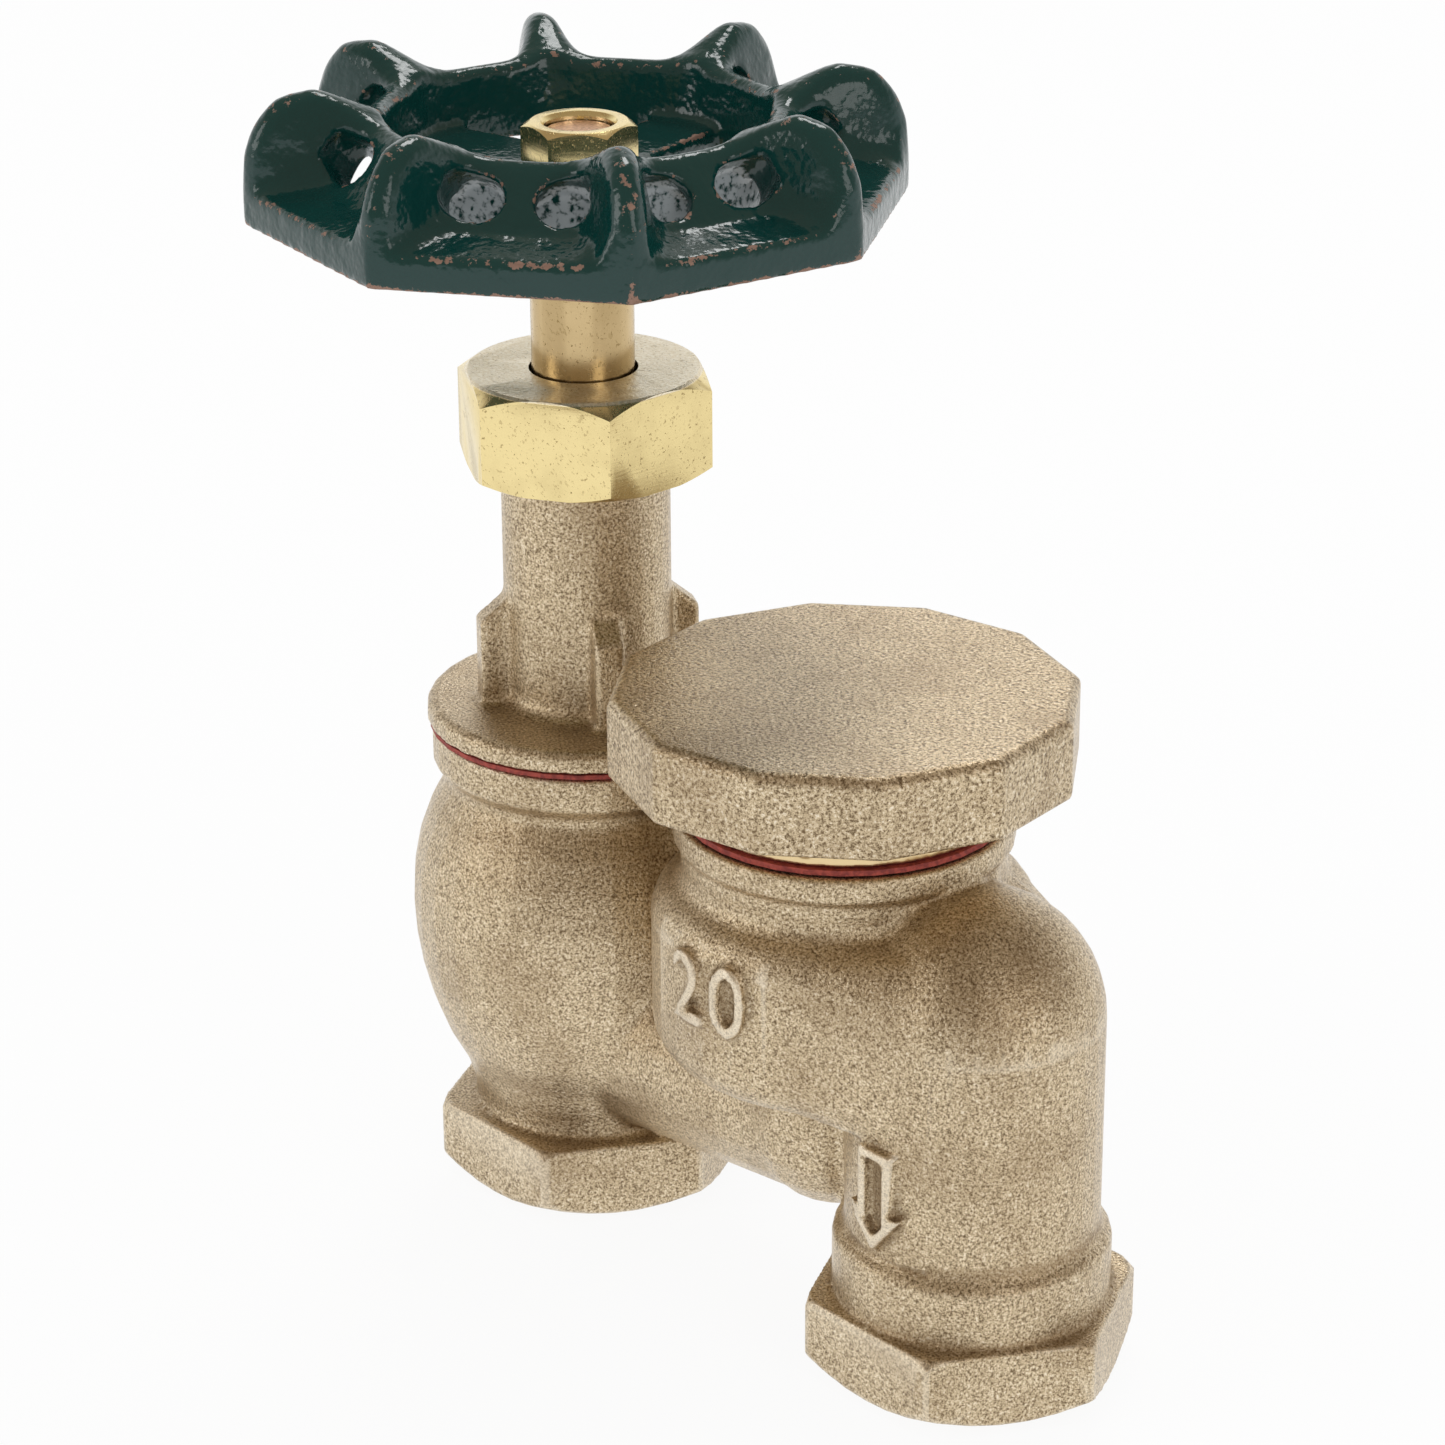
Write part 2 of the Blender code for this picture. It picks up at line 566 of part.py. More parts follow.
def globe_chamber():
    """Hollow above the seat, up to the bonnet bore."""
    floor = SEAT_HEIGHT - SEAT_LIP_HEIGHT
    lip_radius = SEAT_BORE_RADIUS + SEAT_LIP_WIDTH
    top = BONNET_COLLAR_TOP - BONNET_COLLAR_HEIGHT - 2.0 * BONNET_COLLAR_NECK
    outline = [
        (0.0, BONNET_COLLAR_TOP + OVERLAP),
        (BONNET_BORE_RADIUS, BONNET_COLLAR_TOP + OVERLAP),
        (BONNET_BORE_RADIUS, top),
    ]
    heights = globe_heights(floor, top, CHAMBER_STEPS)[1:]
    outline += [(max(globe_radius(z) - CASTING_WALL, BONNET_BORE_RADIUS), z) for z in heights]
    outline += [(lip_radius, floor), (lip_radius, SEAT_HEIGHT), (0.0, SEAT_HEIGHT)]
    return turned("globe_chamber", outline, sides=SMALL_SIDES)


def inlet_bore():
    throat = SOCKET_THREAD_DEPTH + SOCKET_THROAT_RISE
    return turned("inlet_bore", [
        (0.0, SEAT_HEIGHT + OVERLAP),
        (SEAT_BORE_RADIUS, SEAT_HEIGHT + OVERLAP),
        (SEAT_BORE_RADIUS, throat),
        (SOCKET_BORE_RADIUS, SOCKET_THREAD_DEPTH),
        (SOCKET_BORE_RADIUS, -OVERLAP),
        (0.0, -OVERLAP),
    ], sides=SMALL_SIDES)


def breaker_chamber():
    inner = BREAKER_RADIUS - CASTING_WALL
    lip_radius = SEAT_BORE_RADIUS + SEAT_LIP_WIDTH
    shoulder = BREAKER_SHOULDER - CASTING_WALL
    return turned("breaker_chamber", [
        (0.0, CAP_COLLAR_TOP + OVERLAP),
        (CAP_BORE_RADIUS, CAP_COLLAR_TOP + OVERLAP),
        (CAP_BORE_RADIUS, shoulder),
        (inner, shoulder - (inner - CAP_BORE_RADIUS)),
        (inner, BREAKER_INNER_FLOOR + CASTING_WALL),
        (inner - CASTING_WALL, BREAKER_INNER_FLOOR),
        (lip_radius, BREAKER_INNER_FLOOR),
        (lip_radius, FLOAT_SEAT_HEIGHT),
        (0.0, FLOAT_SEAT_HEIGHT),
    ], CAP_AXIS_OFFSET, SMALL_SIDES)


def float_seat_bore():
    low = CROSSOVER_END_HEIGHT
    return turned("float_seat_bore",
                  rod_outline(SEAT_BORE_RADIUS, low, FLOAT_SEAT_HEIGHT + OVERLAP),
                  CAP_AXIS_OFFSET, SMALL_SIDES)


def make_body():
    body = socket_hexagon("body", 0.0)
    join(body, globe_shell(), crossover_shell(), breaker_shell(), shoulder_shell())
    join(body, shoulder_tunnel(LEG_RADIUS - OVERLAP, "tunnel_shell"))
    join(body, outlet_leg(LEG_RADIUS, SOCKET_HEX_HEIGHT - 2.0 * OVERLAP, "leg_shell"), outlet_band())
    join(body, socket_hexagon("outlet_socket", OUTLET_AXIS_OFFSET))
    leg_bore = LEG_RADIUS - CASTING_WALL
    cut(body, inlet_bore(), globe_chamber(), crossover_bore(), float_seat_bore(), breaker_chamber())
    cut(body, outlet_leg(leg_bore, SOCKET_THREAD_DEPTH - OVERLAP, "leg_bore"))
    cut(body, shoulder_tunnel(leg_bore - OVERLAP, "tunnel_bore"))
    cut(body, turned("outlet_bore", rod_outline(SOCKET_BORE_RADIUS, -OVERLAP, SOCKET_THREAD_DEPTH),
                     OUTLET_AXIS_OFFSET, SMALL_SIDES))
    return body


def rib_outline():
    low = FLANGE_TOP - OVERLAP
    shoulder = FLANGE_TOP + RIB_SHOULDER
    return [(RIB_ROOT, low), (RIB_REACH, low), (RIB_REACH, shoulder), (RIB_ROOT, shoulder + RIB_SLOPE)]


def bonnet_rib(angle):
    """Upright plate rib that braces the bonnet's tube on its flange."""
    half = 0.5 * RIB_THICKNESS
    rings = [[Vector((r, side, z)) for r, z in rib_outline()] for side in (-half, half)]
    turn = Matrix.Rotation(angle, 3, "Z")
    return lofted("rib", [[turn @ point for point in ring] for ring in rings])


def make_bonnet():
    thread_hole = STEM_THREAD_RADIUS + THREAD_GAP
    fillet = (BONNET_TUBE_RADIUS + BONNET_TUBE_FILLET, FLANGE_TOP + BONNET_TUBE_FILLET)
    outline = [
        (STUFFING_RADIUS, BONNET_TOP),
        (BONNET_TUBE_RADIUS, BONNET_TOP),
    ]
    outline += arc(fillet, BONNET_TUBE_FILLET, math.radians(180.0), math.radians(270.0), FILLET_STEPS)
    outline += [
        (BONNET_FLANGE_RADIUS - BONNET_FLANGE_SLOPE, FLANGE_TOP),
        (BONNET_FLANGE_RADIUS, FLANGE_TOP - BONNET_FLANGE_SLOPE),
        (BONNET_FLANGE_RADIUS, FLANGE_LOW),
        (BONNET_SPIGOT_RADIUS, FLANGE_LOW),
        (BONNET_SPIGOT_RADIUS, BONNET_LOW),
        (thread_hole, BONNET_LOW),
        (thread_hole, THROAT_LOW),
        (STEM_HOLE_RADIUS, THROAT_LOW),
        (STEM_HOLE_RADIUS, STUFFING_FLOOR),
        (STUFFING_RADIUS, STUFFING_FLOOR),
    ]
    bonnet = turned("bonnet", outline)
    ribs = [bonnet_rib(RIB_ANGLE + math.tau * k / RIB_COUNT) for k in range(RIB_COUNT)]
    return join(bonnet, *ribs)


def chamfered_hexagon(name, across_flats, low, high, face_radius, chamfers, angle):
    """Hexagon nut blank, with its ends chamfered to a turned face."""
    piece = hexagon(name, across_flats, low, high, angle)
    corner = corner_radius(across_flats)
    foot, head = chamfers
    slope = (corner - face_radius) / head
    blank = turned(name + "_blank", [
        (0.0, high + OVERLAP),
        (face_radius - slope * OVERLAP, high + OVERLAP),
        (corner, high - head),
        (corner, low + foot),
        (corner - slope * (foot + OVERLAP), low - OVERLAP),
        (0.0, low - OVERLAP),
    ], sides=ROUND_SIDES)
    return keep_common(piece, blank)


def make_packing_nut():
    nut = chamfered_hexagon("packing_nut", PACKING_NUT_FLATS, PACKING_NUT_LOW, PACKING_NUT_TOP,
                            PACKING_NUT_FACE_RADIUS,
                            (PACKING_NUT_FOOT_CHAMFER, PACKING_NUT_CHAMFER), PACKING_NUT_ANGLE)
    thread = BONNET_TUBE_RADIUS + THREAD_GAP
    roof = PACKING_NUT_TOP - PACKING_NUT_ROOF
    bore = turned("nut_bore", [
        (0.0, PACKING_NUT_TOP + OVERLAP),
        (STEM_HOLE_RADIUS, PACKING_NUT_TOP + OVERLAP),
        (STEM_HOLE_RADIUS, roof),
        (thread, roof),
        (thread, PACKING_NUT_LOW - OVERLAP),
        (0.0, PACKING_NUT_LOW - OVERLAP),
    ])
    return cut(nut, bore)


def packing_ring_low(index):
    return STUFFING_FLOOR + REST_GAP + index * (PACKING_RING_HEIGHT + REST_GAP)


def make_packing():
    inner = STEM_HOLE_RADIUS
    outer = inner + PACKING_WIDTH
    rings = []
    for index in range(PACKING_RING_COUNT):
        low = packing_ring_low(index)
        outline = tube_outline(inner, outer, low, low + PACKING_RING_HEIGHT)
        rings.append(turned(f"packing_ring_{index + 1}", outline, sides=SMALL_SIDES))
    gland_low = packing_ring_low(PACKING_RING_COUNT)
    gland_top = PACKING_NUT_TOP - PACKING_NUT_ROOF - REST_GAP
    gland = turned("packing_gland", tube_outline(inner, outer, gland_low, gland_top), sides=SMALL_SIDES)
    return rings, gland


def stem_ring(height, radius):
    turns = [math.tau * j / SMALL_SIDES for j in range(SMALL_SIDES)]
    return [(radius * math.cos(a), radius * math.sin(a), height) for a in turns]


def square_ring(height, width):
    """Ring of points round a square, as many as a round ring of the stem has."""
    points = []
    for j in range(SMALL_SIDES):
        a = math.tau * j / SMALL_SIDES
        reach = 0.5 * width / max(abs(math.cos(a)), abs(math.sin(a)))
        points.append((reach * math.cos(a), reach * math.sin(a), height))
    return points


def make_stem():
    """Stem with a button to swivel in the disc, a lift thread, a square and a threaded tip."""
    rings = [
        stem_ring(BUTTON_LOW, STEM_BUTTON_RADIUS),
        stem_ring(BUTTON_TOP, STEM_BUTTON_RADIUS),
        stem_ring(BUTTON_TOP, STEM_NECK_RADIUS),
        stem_ring(STEM_SHOULDER, STEM_NECK_RADIUS),
        stem_ring(STEM_SHOULDER, STEM_RADIUS),
        stem_ring(STEM_THREAD_LOW, STEM_RADIUS),
        stem_ring(STEM_THREAD_LOW, STEM_THREAD_RADIUS),
        stem_ring(STEM_THREAD_TOP, STEM_THREAD_RADIUS),
        stem_ring(STEM_THREAD_TOP, STEM_RADIUS),
        stem_ring(HUB_LOW - REST_GAP, STEM_RADIUS),
        square_ring(HUB_LOW - REST_GAP, STEM_SQUARE),
        square_ring(HUB_TOP, STEM_SQUARE),
        stem_ring(HUB_TOP, STEM_TIP_RADIUS),
        stem_ring(HUB_TOP + STEM_TIP_LENGTH, STEM_TIP_RADIUS),
    ]
    return lofted("stem", rings)


def make_disc():
    """Swivelling disc: holder, soft washer, its screw and the lock nut round the stem's neck."""
    rim_inner = SEAT_WASHER_RADIUS + REST_GAP
    rim_outer = rim_inner + DISC_RIM_WIDTH
    socket_outer = DISC_SOCKET_RADIUS + DISC_SOCKET_WALL
    screw_hole = WASHER_SCREW_RADIUS + THREAD_GAP
    screw_end = DISC_SOCKET_LOW - REST_GAP
    holder = turned("disc_holder", [
        (DISC_SOCKET_RADIUS, DISC_TOP),
        (socket_outer, DISC_TOP),
        (socket_outer, DISC_SOCKET_LOW + REST_GAP),
        (rim_outer, DISC_SOCKET_LOW - 2.0 * REST_GAP),
        (rim_outer, DISC_PLATE_LOW - DISC_RIM_DEPTH),
        (rim_inner, DISC_PLATE_LOW - DISC_RIM_DEPTH),
        (rim_inner, DISC_PLATE_LOW),
        (screw_hole, DISC_PLATE_LOW),
        (screw_hole, DISC_SOCKET_LOW),
        (DISC_SOCKET_RADIUS, DISC_SOCKET_LOW),
    ], sides=SMALL_SIDES)
    washer = turned("seat_washer", tube_outline(screw_hole, SEAT_WASHER_RADIUS, WASHER_LOW, WASHER_TOP),
                    sides=SMALL_SIDES)
    head_top = WASHER_LOW - REST_GAP
    screw = turned("seat_washer_screw", [
        (0.0, screw_end),
        (WASHER_SCREW_RADIUS, screw_end),
        (WASHER_SCREW_RADIUS, head_top),
        (WASHER_SCREW_HEAD_RADIUS, head_top),
        (WASHER_SCREW_HEAD_RADIUS, head_top - WASHER_SCREW_HEAD_HEIGHT),
        (0.0, head_top - WASHER_SCREW_HEAD_HEIGHT),
    ], sides=SMALL_SIDES)
    nut = hexagon("disc_lock_nut", LOCK_NUT_FLATS, DISC_TOP + REST_GAP, LOCK_NUT_TOP)
    shank_radius = DISC_SOCKET_RADIUS - THREAD_GAP
    shank = rod_outline(shank_radius, BUTTON_TOP + REST_GAP, DISC_TOP + 2.0 * REST_GAP)
    join(nut, turned("lock_shank", shank, sides=SMALL_SIDES))
    neck_hole = rod_outline(STEM_NECK_RADIUS + SLIDE_GAP, BUTTON_TOP - OVERLAP, LOCK_NUT_TOP + OVERLAP)
    cut(nut, turned("lock_bore", neck_hole, sides=SMALL_SIDES))
    return [holder, washer, screw, nut]


def octagon_radius(angle):
    """Radius of the wheel's many-sided foot at an angle from the nearest lobe."""
    half = math.pi / WHEEL_LOBES
    return WHEEL_CORNER_RADIUS * math.cos(half) / math.cos(half - abs(angle))


def between(start, end, share):
    return start + (end - start) * share


def wheel_section(angle):
    """Closed (radius, height) outline of the wheel's rim, at an angle from the nearest lobe."""
    foot = octagon_radius(angle)
    lip = WHEEL_TOP_RADIUS + WHEEL_TOP_ROUND
    lip_top = WHEEL_TOP - WHEEL_LIP_DROP
    bay = [
        (foot, 0.0),
        (foot, WHEEL_BAND),
        (SKIRT_FOOT_RADIUS, SKIRT_FOOT_HEIGHT),
        (between(SKIRT_FOOT_RADIUS, lip, 0.5), between(SKIRT_FOOT_HEIGHT, lip_top, 0.5)),
        (lip, lip_top),
        (WHEEL_TOP_RADIUS, WHEEL_TOP),
        (WHEEL_TOP_RADIUS - WHEEL_TOP_ROUND, lip_top),
    ]
    lobe = [(foot, 0.0), (foot, WHEEL_BAND)]
    for k in range(1, LOBE_STEPS + 1):
        a = 0.5 * math.pi * k / LOBE_STEPS
        lobe.append((between(LOBE_TOP_RADIUS, WHEEL_CORNER_RADIUS, abs(math.cos(a)) ** LOBE_FULLNESS),
                     between(WHEEL_BAND, LOBE_TOP, math.sin(a))))
    lobe.append((LOBE_ROOT_RADIUS, LOBE_ROOT_HEIGHT))
    lobe_share = 1.0 / (1.0 + (angle / LOBE_HALF_WIDTH) ** LOBE_STEEPNESS)
    outline = [(between(b[0], t[0], lobe_share), between(b[1], t[1], lobe_share))
               for b, t in zip(bay, lobe)]
    outline += [
        (DISH_RADIUS, WEB_HEIGHT + SPOKE_THICKNESS),
        (DISH_RADIUS, WEB_HEIGHT),
        (DISH_RADIUS + DISH_WALL, WEB_HEIGHT),
        (DISH_RADIUS + DISH_WALL, DISH_UNDER_HEIGHT),
        (SKIRT_FOOT_RADIUS - SKIRT_THICKNESS, SKIRT_FOOT_HEIGHT - SKIRT_THICKNESS),
        (FLANGE_UNDER_RADIUS, FLANGE_UNDER_HEIGHT),
        (foot - WHEEL_BAND_THICKNESS, 0.0),
    ]
    return outline


def wheel_rim():
    """Lobed rim, skinned from one outline for each angle round the wheel."""
    bm = bmesh.new()
    pitch = math.tau / WHEEL_LOBES
    after_lobe = [0.5 * pitch * (k / BAY_STEPS) ** BAY_STEP_POWER for k in range(BAY_STEPS + 1)]
    angles = [-angle for angle in reversed(after_lobe[1:-1])] + after_lobe
    columns = []
    for lobe in range(WHEEL_LOBES):
        for angle in angles:
            turn = WHEEL_ANGLE + lobe * pitch + angle
            columns.append([bm.verts.new((r * math.cos(turn), r * math.sin(turn), WHEEL_HEIGHT + z))
                            for r, z in wheel_section(angle)])
    for column, following in zip(columns, columns[1:] + columns[:1]):
        count = len(column)
        for k in range(count):
            after = (k + 1) % count
            bm.faces.new((column[k], following[k], following[after], column[after]))
    return solid("handwheel", bm)


def wheel_window(turn):
    """Oval cutter square to the sloping skirt of the wheel."""
    lip = WHEEL_TOP_RADIUS + WHEEL_TOP_ROUND
    lip_top = WHEEL_TOP - WHEEL_LIP_DROP
    slope = Vector((SKIRT_FOOT_RADIUS - lip, 0.0, SKIRT_FOOT_HEIGHT - lip_top)).normalized()
    outward = Vector((-slope.z, 0.0, slope.x))
    across = Vector((0.0, 1.0, 0.0))
    centre = Vector((between(SKIRT_FOOT_RADIUS, lip, 0.5), 0.0,
                     WHEEL_HEIGHT + between(SKIRT_FOOT_HEIGHT, lip_top, 0.5)))
    spin = Matrix.Rotation(turn, 3, "Z")
    rings = []
    for reach in (-WINDOW_DEPTH, WINDOW_DEPTH):
        points = []
        for j in range(WINDOW_SIDES):
            a = math.tau * j / WINDOW_SIDES
            offset = 0.5 * WINDOW_WIDTH * math.cos(a) * across + 0.5 * WINDOW_HEIGHT * math.sin(a) * slope
            points.append(spin @ (centre + reach * outward + offset))
        rings.append(points)
    return lofted("window", rings)


def make_handwheel():
    wheel = wheel_rim()
    spoke_reach = DISH_RADIUS + 0.5 * DISH_WALL
    half = 0.5 * SPOKE_WIDTH
    hub = turned("hub", rod_outline(HUB_RADIUS, HUB_LOW, HUB_TOP))
    for k in range(SPOKE_COUNT // 2):
        turn = Matrix.Rotation(WHEEL_ANGLE + math.tau / WHEEL_LOBES + math.pi * k * 2 / SPOKE_COUNT, 2)
        corners = [(spoke_reach, half), (-spoke_reach, half), (-spoke_reach, -half), (spoke_reach, -half)]
        outline = [tuple(turn @ Vector(corner)) for corner in corners]
        low = WHEEL_HEIGHT + WEB_HEIGHT
        join(hub, prism("spoke", outline, low, low + SPOKE_THICKNESS))
    join(wheel, hub)
    for lobe in range(WHEEL_LOBES):
        for side in (-1.0, 1.0):
            cut(wheel, wheel_window(WHEEL_ANGLE + lobe * math.tau / WHEEL_LOBES + side * WINDOW_ANGLE))
    square = STEM_SQUARE + 2.0 * SLIDE_GAP
    half_square = 0.5 * square
    outline = [(half_square, half_square), (-half_square, half_square),
               (-half_square, -half_square), (half_square, -half_square)]
    return cut(wheel, prism("square_hole", outline, HUB_LOW - OVERLAP, HUB_TOP + OVERLAP))


def make_wheel_nut():
    face = 0.5 * WHEEL_NUT_FLATS
    nut = chamfered_hexagon("handwheel_nut", WHEEL_NUT_FLATS, WHEEL_NUT_LOW, WHEEL_NUT_TOP,
                            face, (0.5 * WHEEL_NUT_CHAMFER, WHEEL_NUT_CHAMFER), WHEEL_NUT_ANGLE)
    hole = rod_outline(STEM_TIP_RADIUS + THREAD_GAP, WHEEL_NUT_LOW - OVERLAP, WHEEL_NUT_TOP + OVERLAP)
    return cut(nut, turned("wheel_nut_bore", hole, sides=SMALL_SIDES))


def cap_head():
    """Many-sided head of the cap, with its upper edge eased."""
    steps = [
        (CAP_HEAD_LOW, CAP_CORNER_RADIUS - 0.5 * CAP_EDGE),
        (CAP_HEAD_LOW + 0.5 * CAP_EDGE, CAP_CORNER_RADIUS),
        (CAP_TOP - CAP_EDGE, CAP_CORNER_RADIUS),
        (CAP_TOP, CAP_CORNER_RADIUS - CAP_EDGE),
    ]
    rings = []
    for height, radius in steps:
        outline = regular_outline(CAP_SIDES, radius, CAP_ANGLE)
        rings.append([(x, y, height) for x, y in outline])
    return lofted("vacuum_breaker_cap", rings)


def vent_port(turn):
    """Level drill from outside the cap's shoulder into its hollow."""
    height = CAP_HEAD_LOW - VENT_DROP
    rings = []
    for reach in (CAP_HOLLOW_RADIUS - OVERLAP, CAP_SHOULDER_RADIUS + OVERLAP):
        points = []
        for j in range(VENT_SIDES):
            a = math.tau * j / VENT_SIDES
            side = VENT_RADIUS * math.cos(a)
            points.append((reach * math.cos(turn) - side * math.sin(turn),
                           reach * math.sin(turn) + side * math.cos(turn),
                           height + VENT_RADIUS * math.sin(a)))
        rings.append(points)
    return lofted("vent", rings)


def make_cap():
    cap = cap_head()
    join(cap, turned("cap_spigot", [
        (0.0, CAP_HEAD_LOW + OVERLAP),
        (CAP_SHOULDER_RADIUS, CAP_HEAD_LOW + OVERLAP),
        (CAP_SHOULDER_RADIUS, CAP_SHOULDER_LOW),
        (CAP_SPIGOT_RADIUS, CAP_SHOULDER_LOW),
        (CAP_SPIGOT_RADIUS, CAP_LOW),
        (0.0, CAP_LOW),
    ]))
    hollow = tube_outline(GUIDE_BOSS_RADIUS, CAP_HOLLOW_RADIUS, CAP_LOW - OVERLAP, CAP_HOLLOW_TOP)
    cut(cap, turned("cap_hollow", hollow, sides=SMALL_SIDES))
    boss_end = rod_outline(GUIDE_BOSS_RADIUS + OVERLAP, CAP_LOW - OVERLAP, GUIDE_BOSS_LOW)
    cut(cap, turned("boss_end", boss_end, sides=SMALL_SIDES))
    guide = rod_outline(FLOAT_ROD_HOLE, GUIDE_BOSS_LOW - OVERLAP, CAP_HOLLOW_TOP)
    cut(cap, turned("guide_bore", guide, sides=SMALL_SIDES))
    for k in range(VENT_COUNT):
        cut(cap, vent_port(CAP_ANGLE + math.tau * (k + 0.5) / VENT_COUNT))
    return cap


def make_air_seat():
    outer = CAP_HOLLOW_RADIUS - THREAD_GAP
    lip = AIR_SEAT_BORE + AIR_SEAT_LIP_WIDTH
    return turned("air_seat_ring", [
        (AIR_SEAT_BORE, CAP_LOW + AIR_SEAT_HEIGHT),
        (outer, CAP_LOW + AIR_SEAT_HEIGHT),
        (outer, CAP_LOW),
        (lip, CAP_LOW),
        (lip, AIR_SEAT_LOW),
        (AIR_SEAT_BORE, AIR_SEAT_LOW),
    ], sides=SMALL_SIDES)


def make_float():
    """Float with its plug and guide rod, and the seal, washer and nut stacked on it."""
    plug_radius = SEAT_BORE_RADIUS - FLOAT_PLUG_CLEARANCE
    poppet = turned("float", [
        (0.0, FLOAT_ROD_TOP),
        (FLOAT_ROD_RADIUS, FLOAT_ROD_TOP),
        (FLOAT_ROD_RADIUS, FLOAT_TOP),
        (FLOAT_RADIUS, FLOAT_TOP),
        (FLOAT_RADIUS, FLOAT_LOW),
        (plug_radius, FLOAT_LOW),
        (plug_radius, FLOAT_LOW - FLOAT_PLUG_DEPTH),
        (0.0, FLOAT_LOW - FLOAT_PLUG_DEPTH),
    ], sides=SMALL_SIDES)
    seal = turned("float_seal", tube_outline(FLOAT_ROD_HOLE, FLOAT_SEAL_RADIUS, FLOAT_SEAL_LOW,
                                             FLOAT_SEAL_TOP), sides=SMALL_SIDES)
    washer_top = FLOAT_WASHER_LOW + FLOAT_WASHER_THICKNESS
    washer = turned("float_washer", tube_outline(FLOAT_ROD_HOLE, FLOAT_WASHER_RADIUS,
                                                 FLOAT_WASHER_LOW, washer_top), sides=SMALL_SIDES)
    nut_top = FLOAT_NUT_LOW + FLOAT_NUT_HEIGHT
    nut = hexagon("float_nut", FLOAT_NUT_FLATS, FLOAT_NUT_LOW, nut_top)
    cut(nut, turned("float_nut_bore", rod_outline(FLOAT_ROD_HOLE, FLOAT_NUT_LOW - OVERLAP,
                                                  nut_top + OVERLAP), sides=SMALL_SIDES))
    return [poppet, seal, washer, nut]


def make_gaskets():
    bonnet_gasket = turned("bonnet_gasket", tube_outline(
        BONNET_BORE_RADIUS, BONNET_COLLAR_RADIUS + GASKET_GAP, BONNET_GASKET_LOW,
        BONNET_GASKET_LOW + BONNET_GASKET_THICKNESS))
    cap_gasket = turned("cap_gasket", tube_outline(
        CAP_BORE_RADIUS, CAP_SHOULDER_RADIUS + GASKET_GAP, CAP_GASKET_LOW,
        CAP_GASKET_LOW + CAP_GASKET_THICKNESS))
    return bonnet_gasket, cap_gasket


def axis_empty(name, x, parent=None):
    empty = bpy.data.objects.new(name, None)
    empty.location = (x, 0.0, 0.0)
    empty.parent = parent
    bpy.context.collection.objects.link(empty)
    return empty


def dress(piece, material, parent):
    """Give a piece its material, its smooth shading and the axis that carries it."""
    piece.data.materials.clear()
    piece.data.materials.append(material)
    piece.data.shade_smooth()
    piece.data.set_sharp_from_angle(angle=SHARP_ANGLE)
    piece.parent = parent


def plan_bounds(pieces):
    """Lowest and highest x and y over all the pieces, as they stand."""
    bpy.context.view_layer.update()
    points = [piece.matrix_world @ vertex.co for piece in pieces for vertex in piece.data.vertices]
    xs = [point.x for point in points]
    ys = [point.y for point in points]
    return min(xs), max(xs), min(ys), max(ys)


def main():
    clear_scene()
    frame = axis_empty("valve_frame", 0.0)
    inlet_axis = axis_empty("inlet_axis", 0.0, frame)
    cap_axis = axis_empty("cap_axis", CAP_AXIS_OFFSET, frame)

    cast_bronze = finish_material("cast_bronze", (0.44, 0.36, 0.22), 0.55, 1.0)
    bright_brass = finish_material("bright_brass", (0.75, 0.56, 0.22), 0.28, 1.0)
    stem_brass = finish_material("stem_brass", (0.62, 0.46, 0.22), 0.35, 1.0)
    green_enamel = finish_material("green_enamel", (0.008, 0.075, 0.065), 0.25, 0.0)
    red_fibre = finish_material("red_fibre", (0.22, 0.03, 0.025), 0.8, 0.0)
    black_rubber = finish_material("black_rubber", (0.02, 0.02, 0.02), 0.7, 0.0)
    graphite = finish_material("graphite_packing", (0.05, 0.05, 0.05), 0.6, 0.0)
    float_plastic = finish_material("float_plastic", (0.75, 0.73, 0.66), 0.45, 0.0)

    rings, gland = make_packing()
    holder, washer, screw, lock_nut = make_disc()
    poppet, float_seal, float_washer, float_nut = make_float()
    bonnet_gasket, cap_gasket = make_gaskets()
    on_inlet_axis = [
        (make_body(), cast_bronze),
        (make_bonnet(), cast_bronze),
        (bonnet_gasket, red_fibre),
        (make_packing_nut(), bright_brass),
        (gland, stem_brass),
        (make_stem(), stem_brass),
        (make_handwheel(), green_enamel),
        (make_wheel_nut(), bright_brass),
        (holder, stem_brass),
        (washer, black_rubber),
        (screw, stem_brass),
        (lock_nut, stem_brass),
    ]
    on_inlet_axis += [(ring, graphite) for ring in rings]
    on_cap_axis = [
        (make_cap(), cast_bronze),
        (cap_gasket, red_fibre),
        (make_air_seat(), stem_brass),
        (poppet, float_plastic),
        (float_seal, black_rubber),
        (float_washer, stem_brass),
        (float_nut, stem_brass),
    ]
    for piece, material in on_inlet_axis:
        dress(piece, material, inlet_axis)
    for piece, material in on_cap_axis:
        dress(piece, material, cap_axis)

    pieces = [piece for piece, _ in on_inlet_axis + on_cap_axis]
    x_low, x_high, y_low, y_high = plan_bounds(pieces)
    frame.location = (-0.5 * (x_low + x_high), -0.5 * (y_low + y_high), 0.0)
    bpy.context.view_layer.update()
    print("inlet axis", tuple(inlet_axis.matrix_world.translation))
    print("cap axis", tuple(cap_axis.matrix_world.translation))
    print("float lift", FLOAT_LIFT, "valve lift", VALVE_LIFT)
    print("pieces", len(pieces))


main()
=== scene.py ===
# %% [markdown]
# The valve arrives as plain solids that carry every size, axis and joint. Loading them first gives
# a fixed frame to dress.

# %% Load the valve's solids
import math

import bpy
import numpy as np
from mathutils import Matrix, Vector


